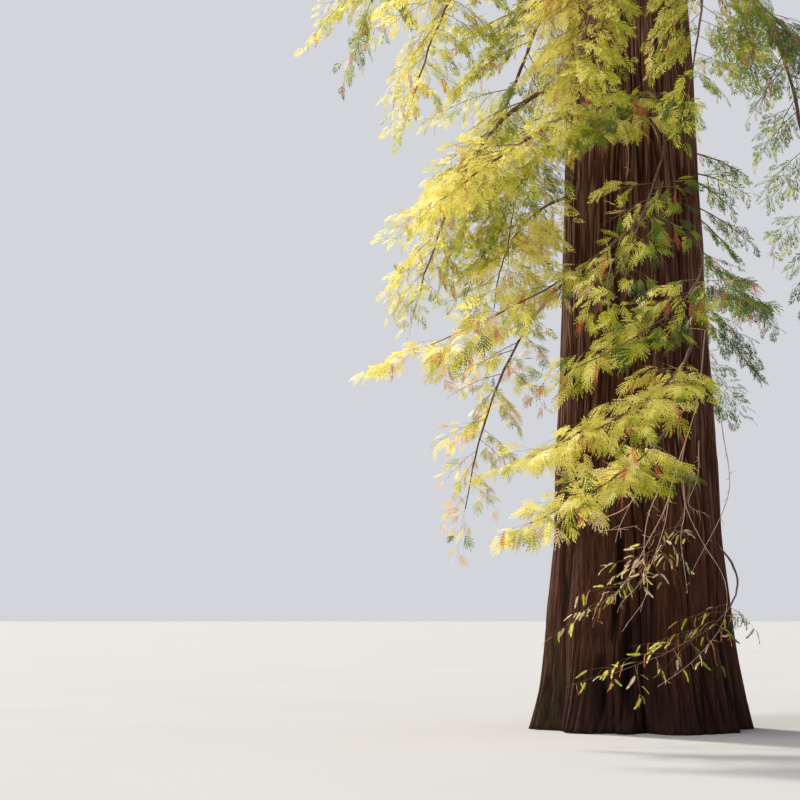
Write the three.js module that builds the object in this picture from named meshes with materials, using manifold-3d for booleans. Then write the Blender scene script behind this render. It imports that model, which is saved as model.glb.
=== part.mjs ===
// A coast redwood: a fluted trunk with a wide root flare, thirteen low boughs that droop round its left and
// front, four more at its back and right, and a tall narrow crown. Millimetres, +Z up, the viewer at -Y.
// The living tree is about 70 m tall, and the model is that tree scaled evenly to 40 m.
// Every limb is one curve. Its first stretch is a bare bough, and the rest is the stem of a foliage mass.
import * as THREE from "three";
import { mergeVertices } from "three/addons/utils/BufferGeometryUtils.js";
import Module from "manifold-3d";

const wasm = await Module();
wasm.setup();

// Driving dimensions of the trunk
const METRE = 1000;
const TREE_HEIGHT = 40 * METRE;
const TRUNK_TOP = 39.2 * METRE;
const TRUNK_TIP_RADIUS = 14;
const BOLE_RADIUS = 560; // the trunk's straight taper, measured at the ground
const SWELL_RADIUS = 240; // a slow swelling over the lowest metres
const SWELL_HEIGHT = 5 * METRE;
const FLARE_RADIUS = 60; // the quick root flare at the ground
const FLARE_HEIGHT = 0.5 * METRE;
const TRUNK_SIDES = 48;
const TRUNK_STEPS = 17;
const TRUNK_STEP_GRADING = 2.1; // steps lie closer together near the ground
const JOINT_GAP = 0.3;
const ROOT_DEPTH = 0.45; // how deep a limb starts inside the trunk, as a share of the trunk's radius

// Buttresses (outwards) and clefts (inwards) round the foot: the angle and half width in degrees, how far
// each stands out of the trunk or cuts into it, and the height over which it fades.
const FLUTES = [
  { angle: -174, width: 15, out: 95, fade: 0.75 * METRE },
  { angle: -152, width: 9, out: -75, fade: 0.95 * METRE },
  { angle: -131, width: 13, out: 110, fade: 0.7 * METRE },
  { angle: -114, width: 8, out: -75, fade: 0.8 * METRE },
  { angle: -105, width: 7, out: 80, fade: 0.55 * METRE },
  { angle: -95, width: 8, out: -185, fade: 1.15 * METRE },
  { angle: -74, width: 15, out: 130, fade: 0.6 * METRE },
  { angle: -45, width: 15, out: 95, fade: 0.7 * METRE },
  { angle: -22, width: 10, out: -110, fade: 1.2 * METRE },
  { angle: -3, width: 13, out: 95, fade: 0.75 * METRE },
  { angle: 24, width: 12, out: -70, fade: 0.9 * METRE },
  { angle: 50, width: 18, out: 110, fade: 0.8 * METRE },
  { angle: 78, width: 11, out: -90, fade: 1.0 * METRE },
  { angle: 103, width: 17, out: 115, fade: 0.7 * METRE },
  { angle: 131, width: 11, out: -80, fade: 1.1 * METRE },
  { angle: 156, width: 13, out: 90, fade: 0.8 * METRE },
];

// Foliage: a stem carries twigs, and each twig widens into a flat blade with a toothed outline, which stands
// for a spray of needles.
const BOUGH_SIDES = 5;
const BOUGH_STEPS = 3;
const STEM_SIDES = 4;
const STEM_STEPS = 4;
const END_SHARE = 0.985; // where the twig at the end of a stem is rooted
// A twig's outline from its tip to its root on the stem's middle line: how far along it each point lies, and
// how far it stands out to each side, as shares of the twig's length.
const TWIG_OUTLINE = [
  { along: 1, out: 0 },
  { along: 0.85, out: 0.19 },
  { along: 0.61, out: 0.13 },
  { along: 0.56, out: 0.33 },
  { along: 0.12, out: 0.018 },
  { along: 0, out: 0 },
];
const TWIG_MIDDLE = 0.55; // where along it a twig is thickest, and how thick
const TWIG_THICKNESS = 0.04;
const TWIG_SPAN = [0.06, 0.95]; // where on the stem the first and the last twig stand
const TWIG_LONGEST = 0.35; // where on the stem twigs are longest
const TWIG_FULL_SHARE = 1.1; // a twig's length there, as a share of the limb's twig size
const TWIG_FALL_OFF = 0.5; // how fast twigs get shorter away from there
const TWIG_UNEVENNESS = [0.8, 1.2];
const ROLL_DRAW = 0.5; // two draws of chance for one twig, told apart by what is added to its number
const LENGTH_DRAW = 7.5;
const END_TWIG_SHARE = 0.8;
const TWIG_TILT = THREE.MathUtils.degToRad(50); // how far a twig turns about its own length
const SPREAD = THREE.MathUtils.degToRad(60); // the angle between the stem and a twig
const SAG = 0.22; // how far a twig's tip hangs below its line, as a share of its length
const ROOT_REGION = 0.3; // the share of a twig near its root that may lie close to its own stem and the trunk
const SHORTER = [1, 0.8, 0.62, 0.45]; // a twig with no room at its full length is tried shorter, then skipped
const KEEP_CLEAR = 40; // free space left round limbs and at the edge of a mass's own space

const UP = new THREE.Vector3(0, 0, 1);
const BARK = new THREE.MeshStandardMaterial({ color: 0x5a3a2c, roughness: 0.95, metalness: 0 });
const BOUGH_BARK = new THREE.MeshStandardMaterial({ color: 0x7a5a48, roughness: 0.9, metalness: 0 });
const SUNLIT = new THREE.MeshStandardMaterial({ color: 0xa9b43a, roughness: 0.6, metalness: 0 });
const SHADED = new THREE.MeshStandardMaterial({ color: 0x5d7a30, roughness: 0.65, metalness: 0 });

// The low limbs. azimuth is the side of the trunk that a limb leaves, 0 at the right and -90 in front, and
// height is where it leaves. half and tip are the points that it passes halfway and ends at. bare is the
// share of it that is a bare bough. Metres.
const LOW_LIMBS = [
  {
    name: "front_high", azimuth: -92, height: 7.5,
    half: [-0.35, -1.75, 6.6], tip: [-0.75, -2.4, 4.9], bare: 0.3
  },
  {
    name: "right_high", azimuth: -62, height: 7.2,
    half: [0.35, -1.65, 6.5], tip: [0.15, -2.3, 5.0], bare: 0.3
  },
  {
    name: "left_high", azimuth: -148, height: 7.3,
    half: [-1.25, -1.05, 6.7], tip: [-1.95, -1.7, 5.1], bare: 0.28
  },
  {
    name: "left_mid", azimuth: -160, height: 5.7,
    half: [-1.25, -0.75, 5.1], tip: [-1.9, -1.15, 3.6], bare: 0.26
  },
  {
    name: "fringe", azimuth: -100, height: 5.6,
    half: [-0.75, -1.35, 5.0], tip: [-1.75, -2.0, 4.15], bare: 0.3
  },
  {
    name: "steep_sweep", azimuth: -32, height: 5.6,
    half: [0.0, -1.55, 4.5], tip: [-0.6, -2.3, 3.2], bare: 0.5
  },
  {
    name: "left_sweep", azimuth: -18, height: 5.0,
    half: [-0.35, -1.3, 3.95], tip: [-1.85, -1.7, 3.05], bare: 0.5
  },
  {
    name: "right_mid", azimuth: -15, height: 4.5,
    half: [0.3, -1.5, 3.6], tip: [-0.75, -2.2, 2.8], bare: 0.42
  },
  {
    name: "sunlit", azimuth: -22, height: 3.7,
    half: [0.1, -1.7, 2.85], tip: [-1.1, -2.5, 2.1], bare: 0.42
  },
  {
    name: "lower_sunlit", azimuth: -34, height: 3.1,
    half: [0.0, -1.35, 2.35], tip: [-1.08, -1.9, 1.65], bare: 0.45
  },
  {
    name: "left_low", azimuth: -172, height: 4.1,
    half: [-1.1, -0.75, 3.2], tip: [-1.55, -1.3, 1.8], bare: 0.32
  },
  {
    name: "hanging", azimuth: -42, height: 2.5,
    half: [0.2, -1.15, 1.75], tip: [-0.65, -1.6, 0.95], bare: 0.48
  },
  {
    name: "lowest", azimuth: -12, height: 1.8,
    half: [0.65, -0.95, 1.1], tip: [-0.5, -1.75, 0.5], bare: 0.46
  },
];
const LOW_SIZE = { thick: 28, twigs: 10, twig: 800, roll: 30, shade: SUNLIT };
// The low limbs that differ from the rest: two carry more twigs, most of those that hang low have short ones, and
// those that cross in front of the trunk are thinner than those at its left
const OWN_SIZES = {
  front_high: { twigs: 12 },
  steep_sweep: { thick: 17, twig: 620 },
  left_sweep: { thick: 18 },
  right_mid: { thick: 18 },
  sunlit: { thick: 18, twigs: 12, twig: 520 },
  lower_sunlit: { thick: 16, twig: 500 },
  left_low: { thick: 20, twig: 600 },
  hanging: { thick: 12, twigs: 6, twig: 460 },
  lowest: { thick: 12, twigs: 6, twig: 460 },
};

// The limbs at the back and the right leave the trunk at an azimuth and a height, reach a distance from the
// trunk's axis and drop by a height. Metres.
const BACK_LIMBS = [
  { azimuth: 10, height: 6.9, reach: 2.0, drop: 2.3, bare: 0.3 },
  { azimuth: 58, height: 5.6, reach: 2.3, drop: 2.4, bare: 0.3 },
  { azimuth: 108, height: 7.8, reach: 2.5, drop: 2.7, bare: 0.3 },
  { azimuth: 152, height: 9.3, reach: 2.4, drop: 2.6, bare: 0.3 },
];
const BACK_HALF = { reach: 0.66, drop: 0.2 }; // where such a limb is halfway, as shares of its reach and drop
const LIMB_TAPER = 0.2; // a limb's thickness at its tip, as a share of that at its root
const LIMB_SWING = 15; // how far round the trunk a limb's tip lies from its root, in degrees
const BACK_SIZE = { thick: 42, twigs: 11, twig: 1350, roll: 40, shade: SUNLIT };

// The crown: limbs leave the trunk a golden turn apart, evenly up it. Sizes run from the crown's foot to its
// top. Lengths in metres, rise and drop as shares of a limb's reach.
const LOWER_CROWN = { count: 4, from: 12.3, to: 16.8, turn: 15, bare: 0.3 };
const UPPER_CROWN = { count: 16, from: 18.2, to: 38.2, turn: 60, bare: 0 };
const CROWN_WIDEST = 3.5;
const CROWN_FOOT = 11;
const CROWN_SHOULDER = 18;
const CROWN_FOOT_SHARE = 0.85; // the crown's reach at its foot, as a share of its widest
const CROWN_POINTEDNESS = 0.72;
const CROWN_UNEVENNESS = 0.24;
const CROWN_HALF_REACH = 0.55;
const GOLDEN_TURN = 137.5;
const LIMB_THICKNESS = [0.085, 0.03];
const LIMB_RISE = [-0.04, 0.2];
const LIMB_DROP = [0.5, -0.2];
const TWIG_LENGTH = [2.75, 1.1];
const TWIG_COUNT = [21, 12];
const CROWN_ROLL = 62;
const LEADER_SIZE = { thick: 12.6, twigs: 6, twig: 520, roll: 70, shade: SHADED };
const LEADER_TIP = [30, -20, TREE_HEIGHT - 430];

const lerp = THREE.MathUtils.lerp;
const radians = THREE.MathUtils.degToRad;

const KEY_STEP = 17.7; // the seeds of two neighbouring masses lie this far apart

// A number from 0 to 1 that looks random, worked out from two numbers, and so the same in every run.
function chance(a, b) {
  const x = Math.sin(a * 12.9898 + b * 78.233) * 43758.5453;
  return x - Math.floor(x);
}

// The trunk's radius without its flutes: a straight taper, a slow swelling and a quick root flare.
function meanRadius(z) {
  const bole = BOLE_RADIUS * (1 - z / TREE_HEIGHT);
  const swell = SWELL_RADIUS * Math.exp(-z / SWELL_HEIGHT);
  const flare = FLARE_RADIUS * Math.exp(-z / FLARE_HEIGHT);
  return Math.max(TRUNK_TIP_RADIUS, bole + swell + flare);
}

// The trunk's true radius: each flute is a bell curve round the trunk that fades with height.
function trunkRadius(angle, z) {
  let r = meanRadius(z);
  for (const flute of FLUTES) {
    let off = THREE.MathUtils.radToDeg(angle) - flute.angle;
    off -= 360 * Math.round(off / 360);
    r += flute.out * Math.exp(-((off / flute.width) ** 2)) * Math.exp(-z / flute.fade);
  }
  return r;
}

// The trunk is a closed cylinder whose rings are moved to their heights and out to the trunk's radius.
function trunkGeometry(grow) {
  const geometry = new THREE.CylinderGeometry(1, 1, 1, TRUNK_SIDES, TRUNK_STEPS);
  const place = geometry.attributes.position;
  for (let i = 0; i < place.count; i++) {
    const z = (TRUNK_TOP + grow) * (place.getY(i) + 0.5) ** TRUNK_STEP_GRADING;
    const x = place.getX(i);
    const y = -place.getZ(i);
    const r = Math.hypot(x, y) * (trunkRadius(Math.atan2(y, x), z) + grow);
    const angle = Math.atan2(y, x);
    place.setXYZ(i, r * Math.cos(angle), r * Math.sin(angle), z);
  }
  return geometry;
}

// A closed mesh as a solid that can be joined and cut.
function solidOf(geometry) {
  const bare = geometry.clone();
  bare.deleteAttribute("normal");
  bare.deleteAttribute("uv");
  const merged = mergeVertices(bare, 1e-3);
  const vertProperties = merged.attributes.position.array;
  const triVerts = new Uint32Array(merged.index.array);
  return new wasm.Manifold(new wasm.Mesh({ numProp: 3, vertProperties, triVerts }));
}

function geometryOf(solid) {
  const mesh = solid.getMesh();
  const geometry = new THREE.BufferGeometry();
  geometry.setAttribute("position", new THREE.BufferAttribute(mesh.vertProperties, 3));
  geometry.setIndex(new THREE.BufferAttribute(mesh.triVerts, 1));
  return geometry;
}

// The frame of a path at t: along it, level and square to it, and square to both.
const FRAME_STEP = 0.01;
function frameAt(at, t) {
  const along = at(t + FRAME_STEP).sub(at(t - FRAME_STEP)).normalize();
  const aside = new THREE.Vector3().crossVectors(along, UP).normalize();
  return { along, aside, above: new THREE.Vector3().crossVectors(aside, along) };
}

// A closed tapering rod along a path: at(t) gives its middle line and radius(t) its radius, t from 0 to 1.
function rodGeometry(at, radius, sides, steps) {
  const geometry = new THREE.CylinderGeometry(1, 1, 1, sides, steps);
  const place = geometry.attributes.position;
  for (let i = 0; i < place.count; i++) {
    const t = place.getY(i) + 0.5;
    const { aside, above } = frameAt(at, t);
    const point = at(t).addScaledVector(aside, place.getX(i) * radius(t));
    point.addScaledVector(above, place.getZ(i) * radius(t));
    place.setXYZ(i, point.x, point.y, point.z);
  }
  return geometry;
}

// How far the crown reaches from the trunk's axis at a height, in metres: it widens from its foot to its
// shoulder and then narrows to the top.
function crownReach(height) {
  const top = TREE_HEIGHT / METRE;
  if (height < CROWN_SHOULDER) {
    const up = (height - CROWN_FOOT) / (CROWN_SHOULDER - CROWN_FOOT);
    return CROWN_WIDEST * lerp(CROWN_FOOT_SHARE, 1, up);
  }
  return CROWN_WIDEST * ((top - height) / (top - CROWN_SHOULDER)) ** CROWN_POINTEDNESS;
}

// A point at an azimuth in degrees, a distance from the trunk's axis and a height, both in metres.
function around(azimuth, distance, height) {
  const angle = radians(azimuth);
  const point = new THREE.Vector3(distance * Math.cos(angle), distance * Math.sin(angle), height);
  return point.multiplyScalar(METRE);
}

// A limb is a curve from inside the trunk, so that its foot can be cut to the trunk's own surface, through a
// halfway point to its tip.
function makeLimb(name, azimuth, height, half, tip, bare, size) {
  const r = trunkRadius(radians(azimuth), height * METRE) / METRE;
  const root = around(azimuth, r * (1 - ROOT_DEPTH), height);
  const bend = half.clone().multiplyScalar(2).addScaledVector(root, -0.5).addScaledVector(tip, -0.5);
  return { name, bare, curve: new THREE.QuadraticBezierCurve3(root, bend, tip), ...size };
}

function lowLimb(row) {
  const half = new THREE.Vector3(...row.half).multiplyScalar(METRE);
  const tip = new THREE.Vector3(...row.tip).multiplyScalar(METRE);
  const size = { ...LOW_SIZE, ...OWN_SIZES[row.name] };
  return makeLimb(row.name, row.azimuth, row.height, half, tip, row.bare, size);
}

function backLimb(row, index) {
  const half = around(row.azimuth, row.reach * BACK_HALF.reach, row.height - row.drop * BACK_HALF.drop);
  const tip = around(row.azimuth + LIMB_SWING, row.reach, row.height - row.drop);
  return makeLimb("back_" + (index + 1), row.azimuth, row.height, half, tip, row.bare, BACK_SIZE);
}

// Limb k of a crown section. The crown's lowest limbs droop, and its highest rise.
function crownLimb(name, k, section) {
  const height = lerp(section.from, section.to, k / (section.count - 1));
  const azimuth = section.turn + k * GOLDEN_TURN;
  const up = (height - CROWN_FOOT) / (TREE_HEIGHT / METRE - CROWN_FOOT);
  const reach = crownReach(height) * (1 + CROWN_UNEVENNESS * (chance(k, section.turn) - 0.5));
  const half = around(azimuth, reach * CROWN_HALF_REACH, height + lerp(...LIMB_RISE, up) * reach);
  const tip = around(azimuth + LIMB_SWING, reach, height - lerp(...LIMB_DROP, up) * reach);
  return makeLimb(name + "_" + (k + 1), azimuth, height, half, tip, section.bare, {
    thick: lerp(...LIMB_THICKNESS, up) * METRE,
    twigs: Math.round(lerp(...TWIG_COUNT, up)),
    twig: lerp(...TWIG_LENGTH, up) * METRE,
    roll: CROWN_ROLL,
    shade: SHADED,
  });
}

// The leader carries on from the flat top of the trunk.
function leader() {
  const root = new THREE.Vector3(0, 0, TRUNK_TOP + JOINT_GAP);
  const tip = new THREE.Vector3(...LEADER_TIP);
  const curve = new THREE.QuadraticBezierCurve3(root, root.clone().lerp(tip, 0.5), tip);
  return { name: "leader", bare: 0, curve, ...LEADER_SIZE };
}

const section = (name, rule) => Array.from({ length: rule.count }, (_, k) => crownLimb(name, k, rule));
const limbs = [
  ...LOW_LIMBS.map(lowLimb),
  ...BACK_LIMBS.map(backLimb),
  ...section("lower_crown", LOWER_CROWN),
  ...section("upper_crown", UPPER_CROWN),
  leader(),
];

// A limb tapers evenly from the trunk to its far tip.
const limbRadius = (limb, t) => limb.thick * lerp(1, LIMB_TAPER, t);

// The stem of a mass, and the bare bough before it, as points to measure distances from.
const SPINE_POINTS = 10;
const SPINE_START = 0.2; // masses whose stems meet the trunk share the room close to it
for (const limb of limbs) {
  const share = (from, to, i) => limb.curve.getPoint(lerp(from, to, i / (SPINE_POINTS - 1)));
  limb.spine = Array.from({ length: SPINE_POINTS }, (_, i) => share(Math.max(limb.bare, SPINE_START), 1, i));
  limb.line = Array.from({ length: SPINE_POINTS }, (_, i) => share(0, limb.bare, i));
}

const closest = (points, p) => Math.min(...points.map((q) => q.distanceTo(p)));

// A point is free for a mass if it is nearer to that mass's stem than to any other, above the ground, and
// clear of the trunk and of every bare bough.
function isFree(limb, p) {
  if (p.z < KEEP_CLEAR || p.z > TREE_HEIGHT) return false;
  const fromAxis = Math.hypot(p.x, p.y);
  if (p.z < TRUNK_TOP && fromAxis < trunkRadius(Math.atan2(p.y, p.x), p.z) + KEEP_CLEAR) return false;
  const own = closest(limb.spine, p) + KEEP_CLEAR;
  return limbs.every((other) => {
    if (other.bare > 0 && closest(other.line, p) < KEEP_CLEAR + other.thick) return false;
    return other === limb || closest(other.spine, p) > own;
  });
}

// Where twig i of n leaves the stem, which way it points and how long it is: twigs leave to the left and the
// right in turn, at the spreading angle, rolled a little out of the flat plane of the bough, and they hang.
// They are longest a third of the way along the stem.
function twigPlace(at, i, n, key, roll) {
  const t = lerp(...TWIG_SPAN, (i + 0.5) / n);
  const { along, aside, above } = frameAt(at, t);
  const turn = radians(roll) * (2 * chance(key, i + ROLL_DRAW) - 1);
  const outward = aside.multiplyScalar((i % 2 === 0 ? 1 : -1) * Math.cos(turn));
  outward.addScaledVector(above, Math.sin(turn));
  const direction = along.multiplyScalar(Math.cos(SPREAD)).addScaledVector(outward, Math.sin(SPREAD));
  direction.addScaledVector(UP, -SAG).normalize();
  const longest = TWIG_FULL_SHARE - TWIG_FALL_OFF * Math.abs(t - TWIG_LONGEST);
  const share = longest * lerp(...TWIG_UNEVENNESS, chance(key, i + LENGTH_DRAW));
  return { t, direction, share };
}

// A twig with its spray of needles: a sphere of two bands, pressed flat, whose middle ring is drawn out into
// the twig's outline.
function twigGeometry(root, tip) {
  const last = TWIG_OUTLINE.length - 1;
  const geometry = new THREE.SphereGeometry(1, 2 * last, 2);
  const length = root.distanceTo(tip);
  const at = (t) => root.clone().lerp(tip, t);
  const frame = frameAt(at, 0.5);
  const tilt = TWIG_TILT * (2 * chance(root.x, root.z) - 1);
  const aside = frame.aside.clone().applyAxisAngle(frame.along, tilt);
  const above = frame.above.clone().applyAxisAngle(frame.along, tilt);
  const place = geometry.attributes.position;
  for (let i = 0; i < place.count; i++) {
    const step = Math.round((Math.atan2(place.getZ(i), place.getX(i)) / Math.PI) * last);
    const height = place.getY(i) * TWIG_THICKNESS * length * 0.5;
    const onRing = Math.abs(place.getY(i)) < 0.5;
    const { along, out } = TWIG_OUTLINE[Math.abs(step)];
    const point = at(onRing ? along : TWIG_MIDDLE).addScaledVector(above, height);
    if (onRing) point.addScaledVector(aside, Math.sign(step) * length * out);
    place.setXYZ(i, point.x, point.y, point.z);
  }
  return geometry;
}

// A twig that grows from a foot on the stem, if at some length it stays in the mass's own space and runs
// into none of the mass's other twigs.
function growTwig(limb, twigs, foot, direction, length) {
  for (const share of SHORTER) {
    const tip = foot.clone().addScaledVector(direction, length * share);
    const twig = twigGeometry(foot, tip);
    const place = twig.attributes.position;
    const pointAt = (_, i) => new THREE.Vector3().fromBufferAttribute(place, i);
    const points = Array.from({ length: place.count }, pointAt);
    const outer = points.filter((p) => p.distanceTo(foot) > ROOT_REGION * length * share);
    if (!outer.every((p) => isFree(limb, p))) continue;
    const solid = solidOf(twig);
    if (twigs.every((other) => other.intersect(solid).isEmpty())) {
      twigs.push(solid);
      return;
    }
  }
}

// One mass of foliage: its stem, the twigs at the sides of the stem, and a twig at its end.
function massPieces(limb, key) {
  const joint = limb.curve.getPoint(limb.bare);
  const speed = joint.distanceTo(limb.curve.getPoint(limb.bare + FRAME_STEP)) / FRAME_STEP;
  const foot = limb.bare > 0 ? limb.bare + JOINT_GAP / speed : 0;
  const at = (t) => limb.curve.getPoint(THREE.MathUtils.clamp(lerp(foot, 1, t), 0, 1));
  const radius = (t) => limbRadius(limb, lerp(foot, 1, t));
  const twigs = [];
  growTwig(limb, twigs, at(END_SHARE), frameAt(at, END_SHARE).along, limb.twig * END_TWIG_SHARE);
  for (let i = 0; i < limb.twigs; i++) {
    const { t, direction, share } = twigPlace(at, i, limb.twigs, key, limb.roll);
    growTwig(limb, twigs, at(t), direction, limb.twig * share);
  }
  return [solidOf(rodGeometry(at, radius, STEM_SIDES, STEM_STEPS)), ...twigs];
}

// Joins pieces, cuts them clear of the trunk and keeps the one body that this makes, without a loose scrap.
function fuse(pieces, cutter) {
  const bodies = wasm.Manifold.union(pieces).subtract(cutter).decompose();
  return bodies.reduce((best, body) => (body.volume() > best.volume() ? body : best));
}

const tree = new THREE.Group();
tree.name = "redwood_tree";

function addNode(name, geometry, material) {
  const mesh = new THREE.Mesh(geometry, material);
  mesh.name = name;
  tree.add(mesh);
}

addNode("trunk", trunkGeometry(0), BARK);
const cutter = solidOf(trunkGeometry(JOINT_GAP));
limbs.forEach((limb, index) => {
  if (limb.bare > 0) {
    const at = (t) => limb.curve.getPoint(THREE.MathUtils.clamp(t * limb.bare, 0, 1));
    const bough = solidOf(rodGeometry(at, (t) => limbRadius(limb, t * limb.bare), BOUGH_SIDES, BOUGH_STEPS));
    addNode("bough_" + limb.name, geometryOf(fuse([bough], cutter)), BOUGH_BARK);
  }
  const mass = fuse(massPieces(limb, index * KEY_STEP), cutter);
  addNode("foliage_" + limb.name, geometryOf(mass), limb.shade);
});

export default tree;
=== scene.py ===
# %% [markdown]
# # A coast redwood
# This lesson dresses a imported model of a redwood. The model holds the trunk, the boughs and the masses of
# foliage as plain solids. Here each of them is replaced by something that looks grown: bark with real
# relief, boughs that fork into twigs, and sprays of needles. Everything is in metres, and z is the height
# above the ground.

# %% Load the model
import math

import bpy
import numpy as np
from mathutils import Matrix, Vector


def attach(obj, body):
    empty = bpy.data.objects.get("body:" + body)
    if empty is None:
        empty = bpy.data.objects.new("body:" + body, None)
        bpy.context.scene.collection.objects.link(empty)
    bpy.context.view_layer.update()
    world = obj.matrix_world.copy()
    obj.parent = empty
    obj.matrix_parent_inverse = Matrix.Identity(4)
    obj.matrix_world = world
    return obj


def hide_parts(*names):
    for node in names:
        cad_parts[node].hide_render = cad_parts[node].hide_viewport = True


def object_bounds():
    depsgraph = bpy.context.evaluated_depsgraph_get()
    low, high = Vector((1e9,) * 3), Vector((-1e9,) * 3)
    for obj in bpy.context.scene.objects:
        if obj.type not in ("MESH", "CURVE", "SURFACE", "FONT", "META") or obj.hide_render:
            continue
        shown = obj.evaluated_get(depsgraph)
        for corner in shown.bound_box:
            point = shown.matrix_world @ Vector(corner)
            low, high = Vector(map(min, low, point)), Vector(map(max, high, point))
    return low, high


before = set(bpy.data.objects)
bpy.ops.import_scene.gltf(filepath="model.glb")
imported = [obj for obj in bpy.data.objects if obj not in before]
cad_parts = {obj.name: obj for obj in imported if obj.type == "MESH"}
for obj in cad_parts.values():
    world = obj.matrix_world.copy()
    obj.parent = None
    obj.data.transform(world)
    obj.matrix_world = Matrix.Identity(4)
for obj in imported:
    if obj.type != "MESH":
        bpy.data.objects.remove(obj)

cad_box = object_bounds()
SEED = 7
rng = np.random.default_rng(SEED)
print("the model's box", [tuple(round(x, 2) for x in corner) for corner in cad_box])

# %% [markdown]
# ## The camera
# The photograph was taken at eye height, looking up a little, with the tree right of the middle. A real
# camera could be found by trial, but four facts settle it: how wide the trunk's foot is, where it stands in
# the picture, where the horizon lies, and that the eye is 1.6 m above the ground. The model is 4/7 of life
# size, so the eye is too.

# %% Place the camera
EYE = (-2.07, -14.857, 0.914)
LOOK_UP = math.radians(7.407)
LENS = 76.5

camera = bpy.data.objects.new("camera", bpy.data.cameras.new("camera"))
camera.location = EYE
camera.rotation_euler = (math.radians(90) + LOOK_UP, 0, 0)
camera.data.lens = LENS
camera.data.clip_end = 10000
bpy.context.scene.collection.objects.link(camera)
bpy.context.scene.camera = camera
print("the camera stands", round(-EYE[1], 1), "m in front of the trunk")

# %% [markdown]
# ## Small tools
# Every new piece is a set of points and faces worked out as whole arrays. One helper turns them into a mesh
# and another carries a circle along many paths at once, which makes every limb, twig and shoot of the tree.

# %% Two small sums
UP = np.array([0.0, 0.0, 1.0])
NO_LENGTH = 1e-12


def unit(v):
    """Each vector divided by its length."""
    return v / np.maximum(np.linalg.norm(v, axis=-1, keepdims=True), NO_LENGTH)


def lerp(a, b, t):
    """The value a share t of the way from a to b."""
    return a + (b - a) * t


print("a quarter of the way from 2 to 6 is", lerp(2, 6, 0.25))


# %% From arrays to a mesh
def mesh_piece(name, points, faces, material, smooth=False):
    """A mesh object from points (n, 3) and a list of face arrays, each (count, corners)."""
    mesh = bpy.data.meshes.new(name)
    mesh.vertices.add(len(points))
    mesh.vertices.foreach_set("co", np.asarray(points, np.float32).ravel())
    corners = np.concatenate([f.ravel() for f in faces]).astype(np.int32)
    sizes = np.concatenate([np.full(len(f), f.shape[1]) for f in faces])
    mesh.loops.add(len(corners))
    mesh.loops.foreach_set("vertex_index", corners)
    mesh.polygons.add(len(sizes))
    mesh.polygons.foreach_set("loop_start", (np.cumsum(sizes) - sizes).astype(np.int32))
    mesh.polygons.foreach_set("use_smooth", np.full(len(sizes), smooth))
    mesh.update(calc_edges=True)
    mesh.materials.append(material)
    piece = bpy.data.objects.new(name, mesh)
    bpy.context.scene.collection.objects.link(piece)
    print(name, "has", int((sizes - 2).sum()), "triangles")
    return piece


def fit(piece, nodes):
    """The piece rides with the tree and stands for some nodes, which are hidden."""
    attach(piece, "root")
    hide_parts(*nodes)


# %% A circle carried along many paths
# A path that runs straight up has no level direction across it, so every path's is nudged this way.
NUDGE = 1e-6 * np.array([1.0, 0.3, 0.0])


def tubes(paths, radii, sides):
    """Points and faces of n tubes. paths is (n, k, 3) and radii (n, k).

    Each ring is its path's point plus radius times (cosine of the angle times aside, plus sine times above),
    where aside is level and square to the path, and above is square to both. Both ends are closed.
    """
    n, k, _ = paths.shape
    along = unit(np.gradient(paths, axis=1))
    aside = unit(np.cross(along, UP) + NUDGE)
    above = np.cross(aside, along)
    angle = np.arange(sides) * 2 * np.pi / sides
    ring = np.cos(angle)[:, None] * aside[:, :, None] + np.sin(angle)[:, None] * above[:, :, None]
    points = paths[:, :, None] + radii[:, :, None, None] * ring
    index = np.arange(n * k * sides).reshape(n, k, sides)
    after = np.roll(index, -1, axis=2)
    walls = np.stack([index[:, :-1], index[:, 1:], after[:, 1:], after[:, :-1]], axis=-1).reshape(-1, 4)
    caps = np.concatenate([index[:, 0], index[:, -1, ::-1]])
    return points.reshape(-1, 3), [walls, caps]


def joined(parts):
    """Several (points, faces) as one, with the face numbers moved on."""
    points, faces, start = [], [], 0
    for part_points, part_faces in parts:
        points.append(part_points)
        faces += [f + start for f in part_faces]
        start += len(part_points)
    return np.concatenate(points), faces


straight = lerp(np.zeros(3), UP, np.linspace(0, 1, 5)[:, None])
print("a tube with 6 sides along 5 points has", len(tubes(straight[None], np.ones((1, 5)), 6)[0]), "points")

# %% [markdown]
# ## The shape of the trunk
# A redwood's trunk tapers evenly, swells in its lowest metres and flares quickly at the ground, where
# buttresses stand out between deep clefts. The model has this as a formula, and the same formula is written
# again here, so that the bark lies exactly where the solid does.

# %% The trunk's radius
TREE_HEIGHT = 40.0
TRUNK_TOP = 39.2
TRUNK_TIP_RADIUS = 0.014
BOLE_RADIUS = 0.56
SWELL_RADIUS = 0.24
SWELL_HEIGHT = 5.0
FLARE_RADIUS = 0.06
FLARE_HEIGHT = 0.5
# Buttresses and clefts: angle and half width in degrees, how far out, and the height over which each fades
FLUTES = np.array([
    (-174, 15, 0.095, 0.75), (-152, 9, -0.075, 0.95), (-131, 13, 0.11, 0.7), (-114, 8, -0.075, 0.8),
    (-105, 7, 0.08, 0.55), (-95, 8, -0.185, 1.15), (-74, 15, 0.13, 0.6), (-45, 15, 0.095, 0.7),
    (-22, 10, -0.11, 1.2), (-3, 13, 0.095, 0.75), (24, 12, -0.07, 0.9), (50, 18, 0.11, 0.8),
    (78, 11, -0.09, 1.0), (103, 17, 0.115, 0.7), (131, 11, -0.08, 1.1), (156, 13, 0.09, 0.8),
])


def mean_radius(z):
    """A straight taper, a slow swelling and a quick root flare, added up."""
    bole = BOLE_RADIUS * (1 - z / TREE_HEIGHT)
    return np.maximum(
        TRUNK_TIP_RADIUS,
        bole + SWELL_RADIUS * np.exp(-z / SWELL_HEIGHT) + FLARE_RADIUS * np.exp(-z / FLARE_HEIGHT),
    )


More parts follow.
